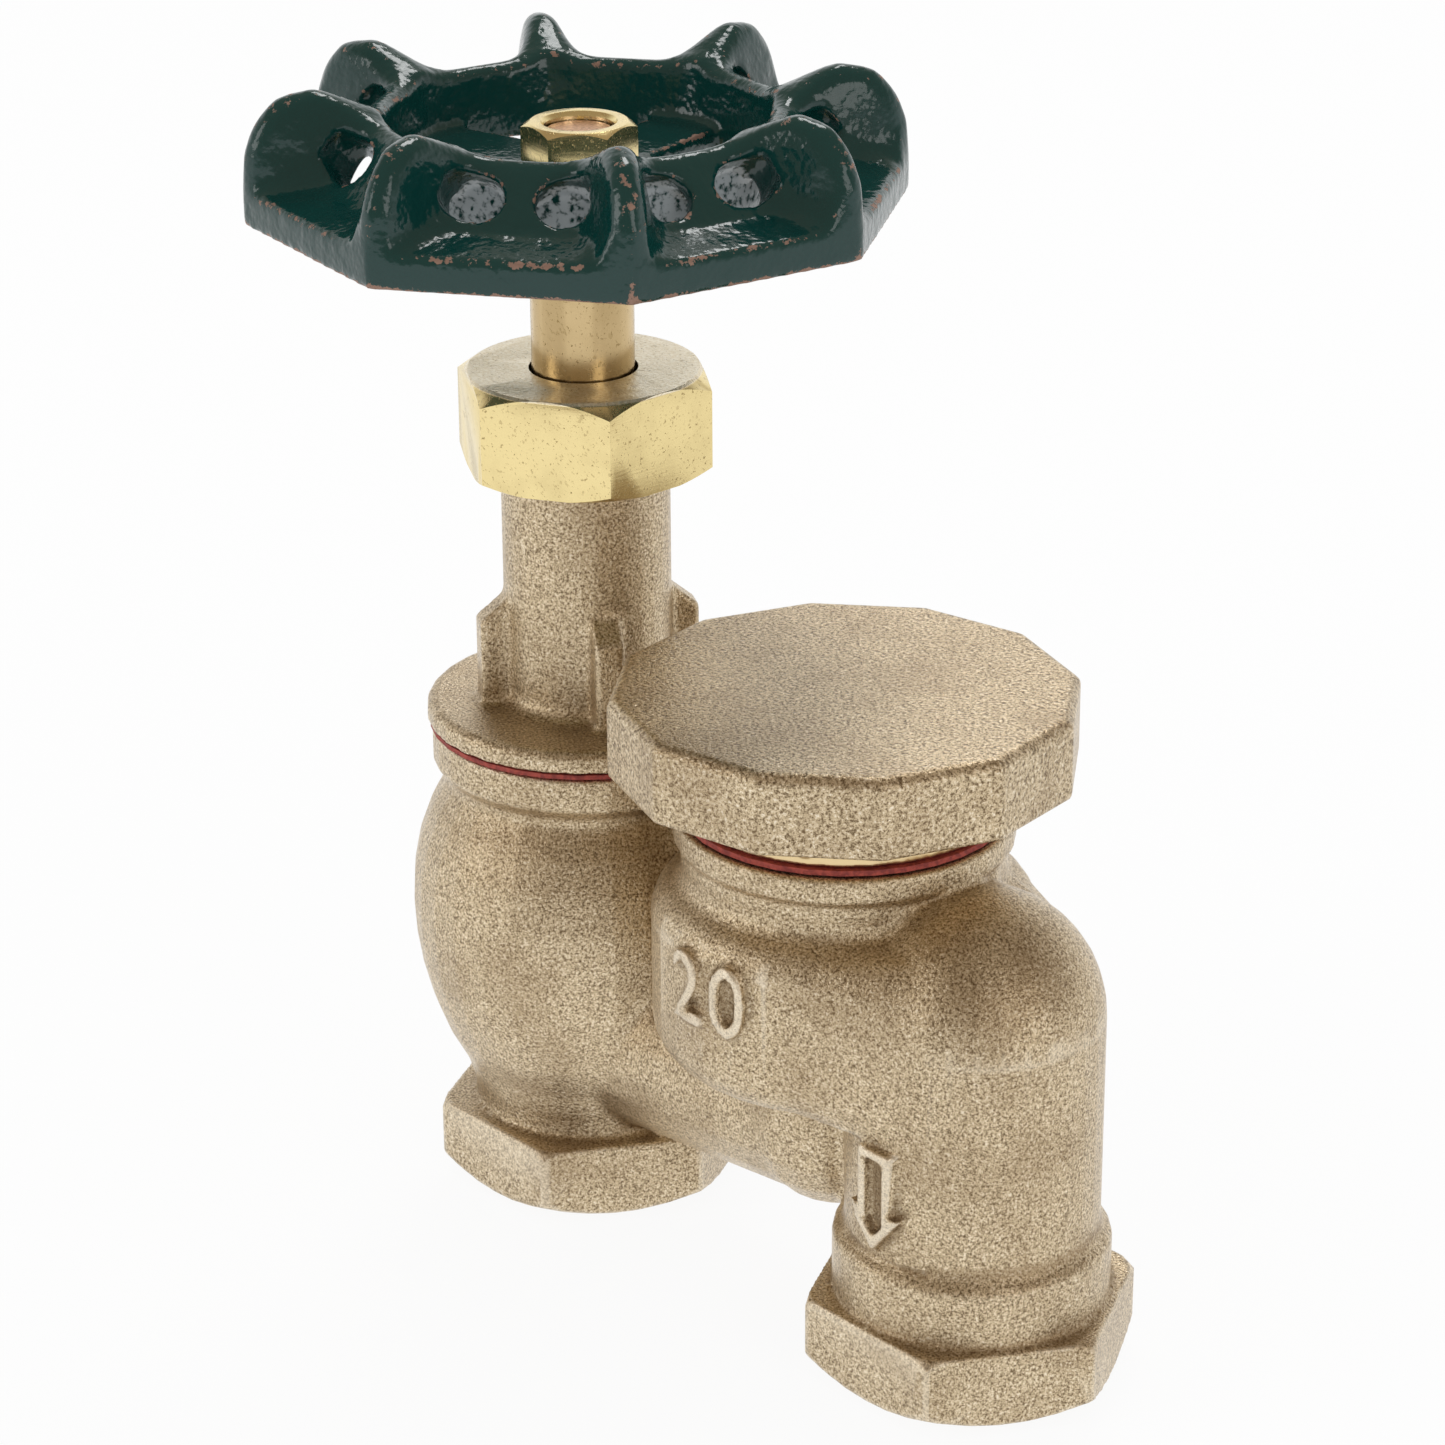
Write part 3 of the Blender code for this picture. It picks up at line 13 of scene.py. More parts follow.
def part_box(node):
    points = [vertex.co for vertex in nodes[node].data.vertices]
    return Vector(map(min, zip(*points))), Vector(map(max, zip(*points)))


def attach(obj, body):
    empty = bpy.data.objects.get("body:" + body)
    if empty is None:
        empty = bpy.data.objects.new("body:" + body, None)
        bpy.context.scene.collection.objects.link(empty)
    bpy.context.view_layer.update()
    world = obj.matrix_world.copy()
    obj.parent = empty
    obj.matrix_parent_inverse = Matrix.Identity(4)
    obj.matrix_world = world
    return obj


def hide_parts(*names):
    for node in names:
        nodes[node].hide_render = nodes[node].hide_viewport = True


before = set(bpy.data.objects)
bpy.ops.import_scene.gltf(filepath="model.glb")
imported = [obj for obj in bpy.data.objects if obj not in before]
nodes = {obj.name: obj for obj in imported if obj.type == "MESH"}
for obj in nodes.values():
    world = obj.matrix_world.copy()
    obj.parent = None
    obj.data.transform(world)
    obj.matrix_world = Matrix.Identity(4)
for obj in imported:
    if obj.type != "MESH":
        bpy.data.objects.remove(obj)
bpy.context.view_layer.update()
MM = 0.001

# %% [markdown]
# Three upright axes organise the whole valve: the inlet with its globe and handwheel, the cap of
# the vacuum breaker, and the outlet leg. Round pieces stand on the first two, so the middles of
# their boxes give those axes. No such piece stands on the third, so its distance is given.

# %% Find the three upright axes
LEGS_APART = 63.0 * MM


def middle(node):
    low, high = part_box(node)
    return 0.5 * (Vector(low) + Vector(high))


INLET_X = middle("packing_gland").x
CAP_X = middle("air_seat_ring").x
OUTLET_X = INLET_X + LEGS_APART
print("axes at x =", round(INLET_X, 5), round(CAP_X, 5), round(OUTLET_X, 5))

# %% [markdown]
# The camera stands where the photographer stood: a long lens, about half a metre away, looking
# down a little on the valve. Its direction is built from an azimuth and an elevation, and the very
# small roll is added by turning the camera's own right and up directions.

# %% Place the camera
AZIMUTH, ELEVATION, ROLL = (math.radians(a) for a in (47.925, 22.922, -0.323))
DISTANCE = 461.13 * MM
TARGET = Vector((16.509, -14.921, 72.987)) * MM
FOCAL_PIXELS, PHOTO_PIXELS = 4361.32, 1445

backward = Vector((math.sin(AZIMUTH) * math.cos(ELEVATION),
                   -math.cos(AZIMUTH) * math.cos(ELEVATION), math.sin(ELEVATION)))
level_right = (-backward).cross(Vector((0, 0, 1))).normalized()
level_up = level_right.cross(-backward)
right = level_right * math.cos(ROLL) + level_up * math.sin(ROLL)
up = level_up * math.cos(ROLL) - level_right * math.sin(ROLL)

lens = bpy.data.cameras.new("studio_camera")
lens.sensor_width = 36.0
lens.lens = FOCAL_PIXELS * lens.sensor_width / PHOTO_PIXELS
lens.clip_start = 0.01
camera = bpy.data.objects.new("studio_camera", lens)
camera.matrix_world = Matrix((right, up, backward)).transposed().to_4x4()
camera.location = TARGET + backward * DISTANCE
bpy.context.collection.objects.link(camera)
bpy.context.scene.camera = camera
print("camera at", tuple(round(c, 4) for c in camera.location), "lens", round(lens.lens, 2))

# %% [markdown]
# Shader maths reads best as arithmetic. This small class holds one output of a node, and adding or
# multiplying two of them adds the Math node that does it. One more method makes any other node.

# %% A value in a shader that takes part in arithmetic


class Field:
    def __init__(self, tree, socket=None):
        self.tree = tree
        self.socket = socket

    def node(self, kind, settings=None, sockets=None, out=0):
        """Add a node: its settings first, then the values or links of its sockets."""
        made = self.tree.nodes.new(kind)
        for name, value in (settings or {}).items():
            setattr(made, name, value)
        for name, value in (sockets or {}).items():
            if isinstance(value, Field):
                self.tree.links.new(value.socket, made.inputs[name])
            else:
                made.inputs[name].default_value = value
        return Field(self.tree, made.outputs[out])

    def maths(self, operation, first, second):
        return self.node("ShaderNodeMath", {"operation": operation}, {0: first, 1: second})

    def __add__(self, other):
        return self.maths("ADD", self, other)

    def __radd__(self, other):
        return self.maths("ADD", other, self)

    def __sub__(self, other):
        return self.maths("SUBTRACT", self, other)

    def __rsub__(self, other):
        return self.maths("SUBTRACT", other, self)

    def __mul__(self, other):
        return self.maths("MULTIPLY", self, other)

    def __rmul__(self, other):
        return self.maths("MULTIPLY", other, self)

    def step(self, low, high):
        """Rise smoothly from 0 at low to 1 at high."""
        return self.node("ShaderNodeMapRange", {"interpolation_type": "SMOOTHSTEP"},
                         {"Value": self, "From Min": low, "From Max": high})

    def noise(self, scale, detail, rough):
        """A soft noise, taken at this place."""
        return self.node("ShaderNodeTexNoise", None,
                         {"Vector": self, "Scale": scale, "Detail": detail, "Roughness": rough})

    def mix(self, share, first, second):
        """Go from the first colour to the second as the share goes from 0 to 1."""
        return self.node("ShaderNodeMix", {"data_type": "RGBA"}, {0: share, 6: first, 7: second}, 2)


print("shader arithmetic ready")

# %% [markdown]
# Every finish starts the same way: a material whose shader knows the place on the piece in
# millimetres, so that a grain is as large as on the real metal. Short helpers feed the shader, tilt
# its surface by a height, and read the numbers that a piece stores at its points or faces.

# %% Tools for finishes


def new_finish(name):
    """A material, its Principled shader, and the place on the piece in millimetres."""
    material = bpy.data.materials.new(name)
    material.use_nodes = True
    tree = material.node_tree
    shader = tree.nodes["Principled BSDF"]
    start = Field(tree)
    metres = start.node("ShaderNodeTexCoord", out="Object")
    place = start.node("ShaderNodeVectorMath", {"operation": "SCALE"}, {0: metres, "Scale": 1.0 / MM})
    return material, shader, place


def feed(shader, name, field):
    field.tree.links.new(field.socket, shader.inputs[name])


def bumped(shader, height, distance, strength):
    """Let a height tilt the surface; the distance that a height of 1 stands for is in millimetres."""
    feed(shader, "Normal", height.node("ShaderNodeBump", None, {
        "Height": height, "Distance": distance * MM, "Strength": strength}))


def attribute(field, name):
    return field.node("ShaderNodeAttribute", {"attribute_name": name}, None, "Fac")


def part_of(field, axis):
    return field.node("ShaderNodeSeparateXYZ", None, {0: field}, axis)


def paint(red, green, blue):
    return (red, green, blue, 1.0)


WHITE = paint(1, 1, 1)
print("tools for finishes ready")

# %% [markdown]
# Sand-cast bronze takes the print of the sand it froze against: grains about a third of a
# millimetre across, each a small facet that catches the light or loses it. Two sizes of noise give
# the grain, the same grain tilts the surface, and a slow noise shifts the tone over the casting. The
# grain's colour also paints that light: dark grains carry painted shade and pale grains painted
# glints. Hollows keep a browner skin, partly patina and partly painted shade. Edges are rubbed
# pale, a raised mark gets a painted shadow at its foot and a top rubbed pale with a painted
# highlight, and the places that the lathe touched are bright and smooth.

# %% Cast bronze
TAN = paint(0.700, 0.560, 0.365)
PALE_WEAR_AND_HIGHLIGHT = paint(0.970, 0.868, 0.700)
DARK_GRAIN_AND_PAINTED_SHADE = paint(0.170, 0.115, 0.062)
TARNISH_AND_PAINTED_SHADE = paint(0.270, 0.172, 0.084)
MACHINED = paint(0.820, 0.640, 0.360)
GRAIN_SCALE, GRIT_SCALE, PATCH_SCALE = 3.3, 7.5, 0.11
GRAIN_HEIGHT = 0.30
BRONZE_METAL = 0.92
LATHE_EDGE, LATHE_ROUGH = 0.1, 0.28
CAP_COLLAR = (60.0, 64.6)


def cast_bronze(name, machined=None, fineness=1.0, tilt=0.5):
    """Grainy bronze, with a machined band between two heights in millimetres where given."""
    material, shader, place = new_finish(name)
    grain = place.noise(GRAIN_SCALE * fineness, 2.0, 0.55)
    grit = place.noise(GRIT_SCALE * fineness, 2.0, 0.6)
    patch = place.noise(PATCH_SCALE, 3.0, 0.55)
    speckle = 0.58 * grain + 0.42 * grit
    relief = attribute(place, "relief")
    sunk = 0.0 - relief
    mark = attribute(place, "mark")
    # Dark grains: partly the grain's own tone, partly painted shade of facets that lose the light.
    colour = place.mix(speckle.step(0.36, 0.56), DARK_GRAIN_AND_PAINTED_SHADE, TAN)
    for share, tone in (
            # pale grains: painted glints
            (speckle.step(0.54, 0.65) * 0.9, PALE_WEAR_AND_HIGHLIGHT),          # grains that catch the light
            (patch.step(0.42, 0.75) * 0.32, TARNISH_AND_PAINTED_SHADE),          # slow patches
            # brown in hollows: partly patina, partly painted shade
            (sunk.step(0.02, 0.32) * 0.45, TARNISH_AND_PAINTED_SHADE),           # hollows
            (relief.step(0.18, 0.42) * 0.30, PALE_WEAR_AND_HIGHLIGHT),          # rubbed edges
            # dark foot of a raised mark: painted shadow
            (mark * sunk.step(0.04, 0.20) * 0.45, DARK_GRAIN_AND_PAINTED_SHADE),    # the foot of a raised mark
            # pale top of a raised mark: rubbed, and painted as a highlight
            (mark * relief.step(0.04, 0.20) * 0.50, PALE_WEAR_AND_HIGHLIGHT)):  # the top of a raised mark
        colour = place.mix(share, colour, tone)
    rough = 0.20 + 0.20 * grit
    height = 0.70 * grain + 0.30 * grit
    if machined:
        low, high = machined
        z = part_of(place, "Z")
        band = z.step(low - LATHE_EDGE, low) * (1.0 - z.step(high, high + LATHE_EDGE))
        colour = place.mix(band, colour, MACHINED)
        rough = rough * (1.0 - band) + LATHE_ROUGH * band
        height = height * (1.0 - 0.9 * band)
    feed(shader, "Base Color", colour)
    feed(shader, "Roughness", rough)
    shader.inputs["Metallic"].default_value = BRONZE_METAL
    bumped(shader, height, GRAIN_HEIGHT, tilt)
    return material


body_bronze = cast_bronze("body_bronze")
bonnet_bronze = cast_bronze("bonnet_bronze")
cap_bronze = cast_bronze("cap_bronze", CAP_COLLAR, fineness=0.75, tilt=0.7)
print("cast bronze ready")

# %% [markdown]
# The two nuts are cut from brass bar and left bright. Handling leaves dark specks, dents and a few
# thin scratches on them. Each flat is darkened by its own amount of painted shade, and the edges
# between the flats are painted pale, partly as wear and partly as a painted highlight. The packing
# nut's top is pitted, in pale tones that are partly its rougher finish and partly a painted sheen.
# The stem is turned, so its faint lines run round it. It is browner, with dark streaks along it that
# are painted reflections. One kind of noise does all of this: drawn out in one direction it gives
# lines, and cut off high it leaves only specks.

# %% Machined brass
BRIGHT = paint(0.900, 0.740, 0.370)
STEM_BROWN = paint(0.640, 0.480, 0.255)
INNER_BROWN = paint(0.620, 0.460, 0.220)
DARK_SPECK_AND_SHADE = paint(0.330, 0.230, 0.090)
# Dark streaks along the stem: painted reflections of what stands round it.
PAINTED_REFLECTION_STREAK = paint(0.300, 0.200, 0.085)
# Pale edges between the flats: partly wear, partly a painted highlight.
EDGE_WEAR_AND_HIGHLIGHT = paint(0.980, 0.900, 0.640)
# The packing nut's pitted top: pale tones, partly its rougher finish and partly a painted sheen.
PITTED_TOP_AND_SHEEN_TONES = (paint(0.860, 0.740, 0.510), paint(1.000, 0.910, 0.720))
TIP_TONES = (paint(0.480, 0.270, 0.150), paint(0.760, 0.470, 0.300))
END_RAMP, END_ROUGHER, END_DULLER, END_PITS = 0.15, 0.06, 0.10, 2.5
NUT_FACE_DEEP, TIP_DEEP = 0.35, 0.20
LINE_HEIGHT, LINE_TILT = 0.06, 0.5
# The sides of a nut: their roughness, how close the tool's lines are and how deep.
NUT_SIDES = (0.18, 3.0, 0.35)


def stretched(x, y, z):
    """A place to take a noise at; a direction that counts for little is drawn out into lines."""
    return x.node("ShaderNodeCombineXYZ", None, {"X": x, "Y": y, "Z": z})


def bright_brass(name, colour, roughness, line_scale, line_depth, end_from=None, end_tones=None,
                 reflection_streaks=0.0):
    """Bright metal with tool lines; above a height in millimetres it may end in a rougher face."""
    material, shader, place = new_finish(name)
    x, y, z = (part_of(place, axis) for axis in "XYZ")
    fine = stretched(x * 0.25, y * 0.25, z * line_scale).noise(1.6, 3.0, 0.6)
    scratch = stretched(x + z * 0.8, y - z * 0.3, z * 0.06).noise(3.4, 1.0, 0.5)
    specks = place.noise(2.2, 2.0, 0.55)
    dents = place.noise(0.7, 1.0, 0.5)
    cloud = place.noise(0.25, 2.0, 0.5)
    marks = (specks.step(0.67, 0.72) * 0.7 + scratch.step(0.66, 0.69) * 0.35
             + dents.step(0.72, 0.74) * 0.3)
    facet = attribute(place, "facet")
    tone = place.mix(cloud.step(0.4, 0.8) * 0.2, colour, DARK_SPECK_AND_SHADE)
    # Each flat is darkened by its own amount of painted shade; the edges between flats are painted
    # pale, partly wear and partly a painted highlight.
    tone = place.mix(facet.step(0.0, 1.0) * 0.10, tone, DARK_SPECK_AND_SHADE)
    tone = place.mix((0.0 - facet).step(0.5, 1.0) * 0.6, tone, EDGE_WEAR_AND_HIGHLIGHT)
    # Dark streaks along the rod: painted reflections.
    if reflection_streaks:
        upright = stretched(x * 0.30, y * 0.30, z * 0.01).noise(1.0, 2.0, 0.5)
        tone = place.mix(upright.step(0.42, 0.62) * reflection_streaks, tone, PAINTED_REFLECTION_STREAK)
    rough = roughness + 0.12 * fine + 0.2 * marks
    height = fine * line_depth - marks * 0.6
    dull = marks * 0.3
    if end_from is not None:
        # The end face takes its own tones: pale on the packing nut, partly a rougher finish and partly
        # a painted sheen; copper on the stem's tip.
        end = z.step(end_from, end_from + END_RAMP)
        pitted = place.noise(2.6, 3.0, 0.6)
        tone = place.mix(end, tone, place.mix(pitted.step(0.35, 0.65), *end_tones))
        rough = rough + end * END_ROUGHER
        height = height + end * pitted * END_PITS
        dull = end * END_DULLER
    feed(shader, "Base Color", place.mix(marks, tone, DARK_SPECK_AND_SHADE))
    feed(shader, "Roughness", rough)
    feed(shader, "Metallic", 1.0 - dull)
    bumped(shader, height, LINE_HEIGHT, LINE_TILT)
    return material


packing_nut_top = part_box("packing_nut")[1][2] / MM
stem_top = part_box("stem")[1][2] / MM
nut_brass = bright_brass("nut_brass", BRIGHT, *NUT_SIDES,
                         packing_nut_top - NUT_FACE_DEEP, PITTED_TOP_AND_SHEEN_TONES)
wheel_nut_brass = bright_brass("wheel_nut_brass", BRIGHT, *NUT_SIDES)
stem_brass = bright_brass("stem_finish", STEM_BROWN, 0.17, 5.0, 0.06,
                          stem_top - TIP_DEEP, TIP_TONES, reflection_streaks=0.35)
inner_brass = bright_brass("inner_brass", INNER_BROWN, 0.28, 6.0, 0.20)
print("machined brass ready")

# %% [markdown]
# The handwheel is a rough casting dipped in thick green enamel. The enamel is glossy but follows
# the lumps below it, so the gloss breaks up. Along the edges it has chipped down to pinkish metal:
# where a point stands out of its surroundings and a noise agrees, the bare metal shows. Inside the
# hollow rim, seen through its windows, the wall gets grey patches of painted reflection.

# %% Green enamel
ENAMEL = paint(0.0030, 0.0370, 0.0320)
ENAMEL_THIN = paint(0.0070, 0.0560, 0.0480)
CHIP = paint(0.330, 0.205, 0.155)
# Grey of the painted reflection inside the hollow rim.
PAINTED_REFLECTION_GREY = paint(0.500, 0.540, 0.560)
LUMP_HEIGHT, LUMP_TILT = 0.6, 0.42

enamel, shader, place = new_finish("wheel_enamel")
lumps = place.noise(0.40, 2.0, 0.5)
ripples = place.noise(1.6, 2.0, 0.5)
flakes = place.noise(0.9, 4.0, 0.65)
relief = attribute(place, "relief")
worn = (relief * 2.2 + (flakes - 0.5) * 0.9).step(0.32, 0.38)
thin = relief.step(0.05, 0.5)
# Inside the hollow rim, grey patches are painted reflection.
reflection_share = attribute(place, "hollow") * ripples.step(0.30, 0.55)
cover = place.mix(reflection_share * 0.85, place.mix(thin, ENAMEL, ENAMEL_THIN), PAINTED_REFLECTION_GREY)
feed(shader, "Base Color", place.mix(worn, cover, CHIP))
feed(shader, "Roughness", 0.08 + 0.12 * ripples + 0.45 * worn)
feed(shader, "Metallic", 0.55 * worn)
bumped(shader, lumps * 0.85 + ripples * 0.15 - worn * 0.20, LUMP_HEIGHT, LUMP_TILT)
print("enamel ready")

# %% [markdown]
# What seals the joints is soft: red fibre rings, graphite yarn, black rubber, and the float's
# pale moulding. Each gets a fine grain of its own, so that none is one flat colour.

# %% Soft finishes
SOFT_HEIGHT, SOFT_TILT = 0.15, 0.5


def soft_finish(name, colour, shade, scale, roughness):
    material, shader, place = new_finish(name)
    grain = place.noise(scale, 3.0, 0.6)
    feed(shader, "Base Color", place.mix(grain.step(0.35, 0.65), shade, colour))
    feed(shader, "Roughness", roughness + 0.15 * grain)
    bumped(shader, grain, SOFT_HEIGHT, SOFT_TILT)
    return material


fibre = soft_finish("gasket_fibre", paint(0.440, 0.075, 0.052),
                    paint(0.230, 0.030, 0.024), 1.6, 0.6)
graphite = soft_finish("packing_graphite", paint(0.060, 0.060, 0.062),
                       paint(0.022, 0.022, 0.023), 3.0, 0.5)
rubber = soft_finish("seal_rubber", paint(0.030, 0.030, 0.030),
                     paint(0.014, 0.014, 0.014), 1.5, 0.6)
moulding = soft_finish("float_moulding", paint(0.740, 0.720, 0.650),
                       paint(0.640, 0.620, 0.550), 0.6, 0.35)
print("soft finishes ready")

# %% [markdown]
# An operator works on what is selected, so every step first takes hold of one piece alone. Pieces
# that stand for a solid start from a copy of it: its loose triangles are merged, and its stored
# normals are cleared, because they would no longer fit once the shape is smoothed.

# %% Tools for holding and joining pieces
MERGE_WITHIN = 0.005 * MM


def take_hold(piece):
    """Make one piece the only thing selected."""
    bpy.ops.object.select_all(action="DESELECT")
    piece.select_set(True)
    bpy.context.view_layer.objects.active = piece


def apply_modifier(piece, kind, **settings):
    modifier = piece.modifiers.new(kind.lower(), kind)
    for name, value in settings.items():
        setattr(modifier, name, value)
    take_hold(piece)
    bpy.ops.object.modifier_apply(modifier=modifier.name)


def edit_all(piece):
    take_hold(piece)
    bpy.ops.object.mode_set(mode="EDIT")
    bpy.ops.mesh.select_all(action="SELECT")


def leave_edit():
    bpy.ops.object.mode_set(mode="OBJECT")


def copy_of_solid(node, name):
    piece = bpy.data.objects.new(name, nodes[node].data.copy())
    piece.data.materials.clear()
    bpy.context.collection.objects.link(piece)
    take_hold(piece)
    bpy.ops.mesh.customdata_custom_splitnormals_clear()
    edit_all(piece)
    bpy.ops.mesh.remove_doubles(threshold=MERGE_WITHIN)
    leave_edit()
    return piece


def melt_in(piece, *additions):
    """Join other shapes to a casting, so that the remesh fuses them."""
    take_hold(piece)
    for addition in additions:
        addition.select_set(True)
    bpy.ops.object.join()


def hand_over(piece, body, slot, finish, *replaced):
    """Finish a piece: its material, what carries it and what it stands for."""
    piece.data.materials.clear()
    piece.data.materials.append(finish)
    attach(piece, body)
    if replaced:
        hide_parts(*replaced)


print("tools for pieces ready")

# %% [markdown]
# A casting gets a skin of its own. A voxel remesh turns the merged solid into an even net of small
# quads, and smoothing rounds that net as molten metal would. Smoothing hollows far more than edges
# gives the wide fillets of a casting and keeps its outline. How far each point stands out of its
# surroundings is stored with the skin, and the finishes read it as wear on edges, and as patina and
# painted shade in hollows.

# %% Tools for a casting's skin
HOLLOW_ROUNDS, RELIEF_ROUNDS = 12, 14
FILLET_ROUNDS, FILLET_DEPTH = 16, 0.12
LAST_ROUNDS = 3
LEAST_WEIGHT = 0.02
MOST_TRIANGLES = 190000


def new_skin(piece, width):
    """Cover a piece with quads as wide as given in millimetres."""
    apply_modifier(piece, "REMESH", mode="VOXEL", voxel_size=width * MM, use_smooth_shade=True)


def vectors_of(piece, name):
    """One vector for each point of a skin: its place, "co", or its "normal"."""
    values = np.empty(len(piece.data.vertices) * 3)
    piece.data.vertices.foreach_get(name, values)
    return values.reshape(-1, 3)


def points_of(piece):
    """The places of a skin's points, in millimetres."""
    return vectors_of(piece, "co") / MM


def relief_of(piece, rounds):
    """How far each point stands out of its smoothed surroundings, in millimetres."""
    points = vectors_of(piece, "co")
    count = len(points)
    ends = np.empty(len(piece.data.edges) * 2, dtype=np.int32)
    piece.data.edges.foreach_get("vertices", ends)
    first, second = ends.reshape(-1, 2).T
    links = np.maximum(np.bincount(ends, minlength=count), 1)[:, None]
    smooth = points
    for _ in range(rounds):
        total = np.stack([np.bincount(first, smooth[second, k], count)
                          + np.bincount(second, smooth[first, k], count) for k in range(3)], axis=1)
        smooth = 0.5 * smooth + 0.5 * total / links
    return ((points - smooth) * vectors_of(piece, "normal")).sum(axis=1) / MM


def hollows(piece, depth):
    """Weights that are 0 on edges and open faces and 1 where a hollow is as deep as given."""
    return np.clip(-relief_of(piece, HOLLOW_ROUNDS) / depth, 0.0, 1.0)


def soften(piece, rounds, weights=None):
    """Smooth a skin: all of it, or each point as much as its weight says."""
    limits = {}
    if weights is not None:
        group = piece.vertex_groups.new(name="soft")
        for index in np.nonzero(weights > LEAST_WEIGHT)[0]:
            group.add([int(index)], float(weights[index]), "REPLACE")
        limits["vertex_group"] = group.name
    apply_modifier(piece, "SMOOTH", factor=0.5, iterations=rounds, **limits)
    piece.vertex_groups.clear()


def count_triangles(piece):
    return sum(len(face.vertices) - 2 for face in piece.data.polygons)


def thin_out(piece):
    triangles = count_triangles(piece)
    if triangles > MOST_TRIANGLES:
        apply_modifier(piece, "DECIMATE", ratio=MOST_TRIANGLES / triangles)
    print(piece.name, "has", count_triangles(piece), "triangles")


def keep_values(piece, name, values):
    """Store one number per point, for a material to read."""
    stored = piece.data.attributes.new(name, "FLOAT", "POINT")
    stored.data.foreach_set("value", values.astype(np.float32))


def keep_relief(piece):
    values = relief_of(piece, RELIEF_ROUNDS)
    keep_values(piece, "relief", values)
    low, high = round(float(values.min()), 2), round(float(values.max()), 2)
    print(piece.name, "relief from", low, "to", high, "mm")


print("tools for castings ready")

# %% [markdown]
# A flow arrow stands in low relief on the outlet leg: an outline of small ridges that points down.
# It is drawn flat as a filled face, inset to leave a border, extruded for height, and then every
# point is wrapped round the leg by turning its sideways distance into an angle.

# %% Flow arrow on the outlet leg
ARROW_HALF_SHAFT, ARROW_HALF_HEAD = 2.3 * MM, 3.7 * MM
ARROW_TOP, ARROW_BARB, ARROW_TIP = 5.6 * MM, -1.6 * MM, -6.4 * MM
ARROW_BORDER, ARROW_RISE, ARROW_FOOT = 1.05 * MM, 1.15 * MM, 1.0 * MM
ARROW_RADIUS, ARROW_FACING, ARROW_HEIGHT = 14.0 * MM, math.radians(-91.5), 25.2 * MM


def draw_line(name, points):
    """Extrude one point from place to place; the piece is left in edit mode."""
    bpy.ops.object.select_all(action="DESELECT")
    bpy.ops.mesh.primitive_plane_add(size=MM, location=(0, 0, 0))
    piece = bpy.context.object
    piece.name = name
    edit_all(piece)
    bpy.ops.mesh.merge(type="CENTER")
    bpy.ops.transform.translate(value=points[0])
    for here, there in zip(points, points[1:]):
        step = [new - old for old, new in zip(here, there)]
        bpy.ops.mesh.extrude_vertices_move(TRANSFORM_OT_translate={"value": step})
    return piece


def flat_plate(name, corners):
    """A flat face with the corners given; the piece is left in edit mode."""
    piece = draw_line(name, [(x, y, 0.0) for x, y in corners])
    bpy.ops.mesh.select_all(action="SELECT")
    bpy.ops.mesh.edge_face_add()
    return piece


def wrap_round(piece, axis_x, radius, facing, height):
    """Bend a flat relief (x sideways, y up, z outwards) round an upright axis."""
    for vertex in piece.data.vertices:
        x, y, z = vertex.co
        angle = facing + x / radius
        reach = radius + z
        vertex.co = (axis_x + reach * math.cos(angle), reach * math.sin(angle), height + y)


arrow = flat_plate("arrow", [
    (-ARROW_HALF_SHAFT, ARROW_TOP), (-ARROW_HALF_SHAFT, ARROW_BARB), (-ARROW_HALF_HEAD, ARROW_BARB),
    (0.0, ARROW_TIP), (ARROW_HALF_HEAD, ARROW_BARB), (ARROW_HALF_SHAFT, ARROW_BARB),
    (ARROW_HALF_SHAFT, ARROW_TOP)])
bpy.ops.transform.translate(value=(0, 0, -ARROW_FOOT))
bpy.ops.mesh.inset(thickness=ARROW_BORDER)
bpy.ops.mesh.delete(type="FACE")
bpy.ops.mesh.select_all(action="SELECT")
bpy.ops.mesh.extrude_region_move(TRANSFORM_OT_translate={"value": (0, 0, ARROW_FOOT + ARROW_RISE)})
bpy.ops.mesh.select_all(action="SELECT")
bpy.ops.mesh.normals_make_consistent(inside=False)
leave_edit()
apply_modifier(arrow, "SUBSURF", subdivision_type="SIMPLE", levels=2, render_levels=2)
wrap_round(arrow, OUTLET_X, ARROW_RADIUS, ARROW_FACING, ARROW_HEIGHT)
print("arrow has", len(arrow.data.vertices), "points")

# %% [markdown]
# A plain raised number, the nominal bore in millimetres, stands on the side of the bowl, where a
# foundry marks the size. It is a text object turned into a mesh and wrapped round the bowl.

# %% Raised number on the bowl
NUMBER_SIZE, NUMBER_DEPTH, NUMBER_SWELL = 11.6 * MM, 2.0 * MM, 0.12 * MM
NUMBER_SPACING, NUMBER_NARROW = 1.2, 0.84
NUMBER_RADIUS, NUMBER_FACING, NUMBER_HEIGHT = 21.2 * MM, math.radians(-86.5), 44.3 * MM


def raised_number(name, text):
    bpy.ops.object.select_all(action="DESELECT")
    bpy.ops.object.text_add(location=(0, 0, 0))
    piece = bpy.context.object
    piece.name = name
    piece.data.body = text
    piece.data.size = NUMBER_SIZE
    piece.data.extrude = 0.5 * NUMBER_DEPTH
    piece.data.offset = NUMBER_SWELL
    piece.data.space_character = NUMBER_SPACING
    piece.data.resolution_u = 4
    piece.data.align_x = "CENTER"
    piece.data.align_y = "CENTER"
    bpy.ops.object.convert(target="MESH")
    edit_all(piece)
    bpy.ops.mesh.remove_doubles(threshold=MERGE_WITHIN)
    bpy.ops.mesh.normals_make_consistent(inside=False)
    bpy.ops.transform.resize(value=(NUMBER_NARROW, 1.0, 1.0), center_override=(0, 0, 0))
    leave_edit()
    return piece


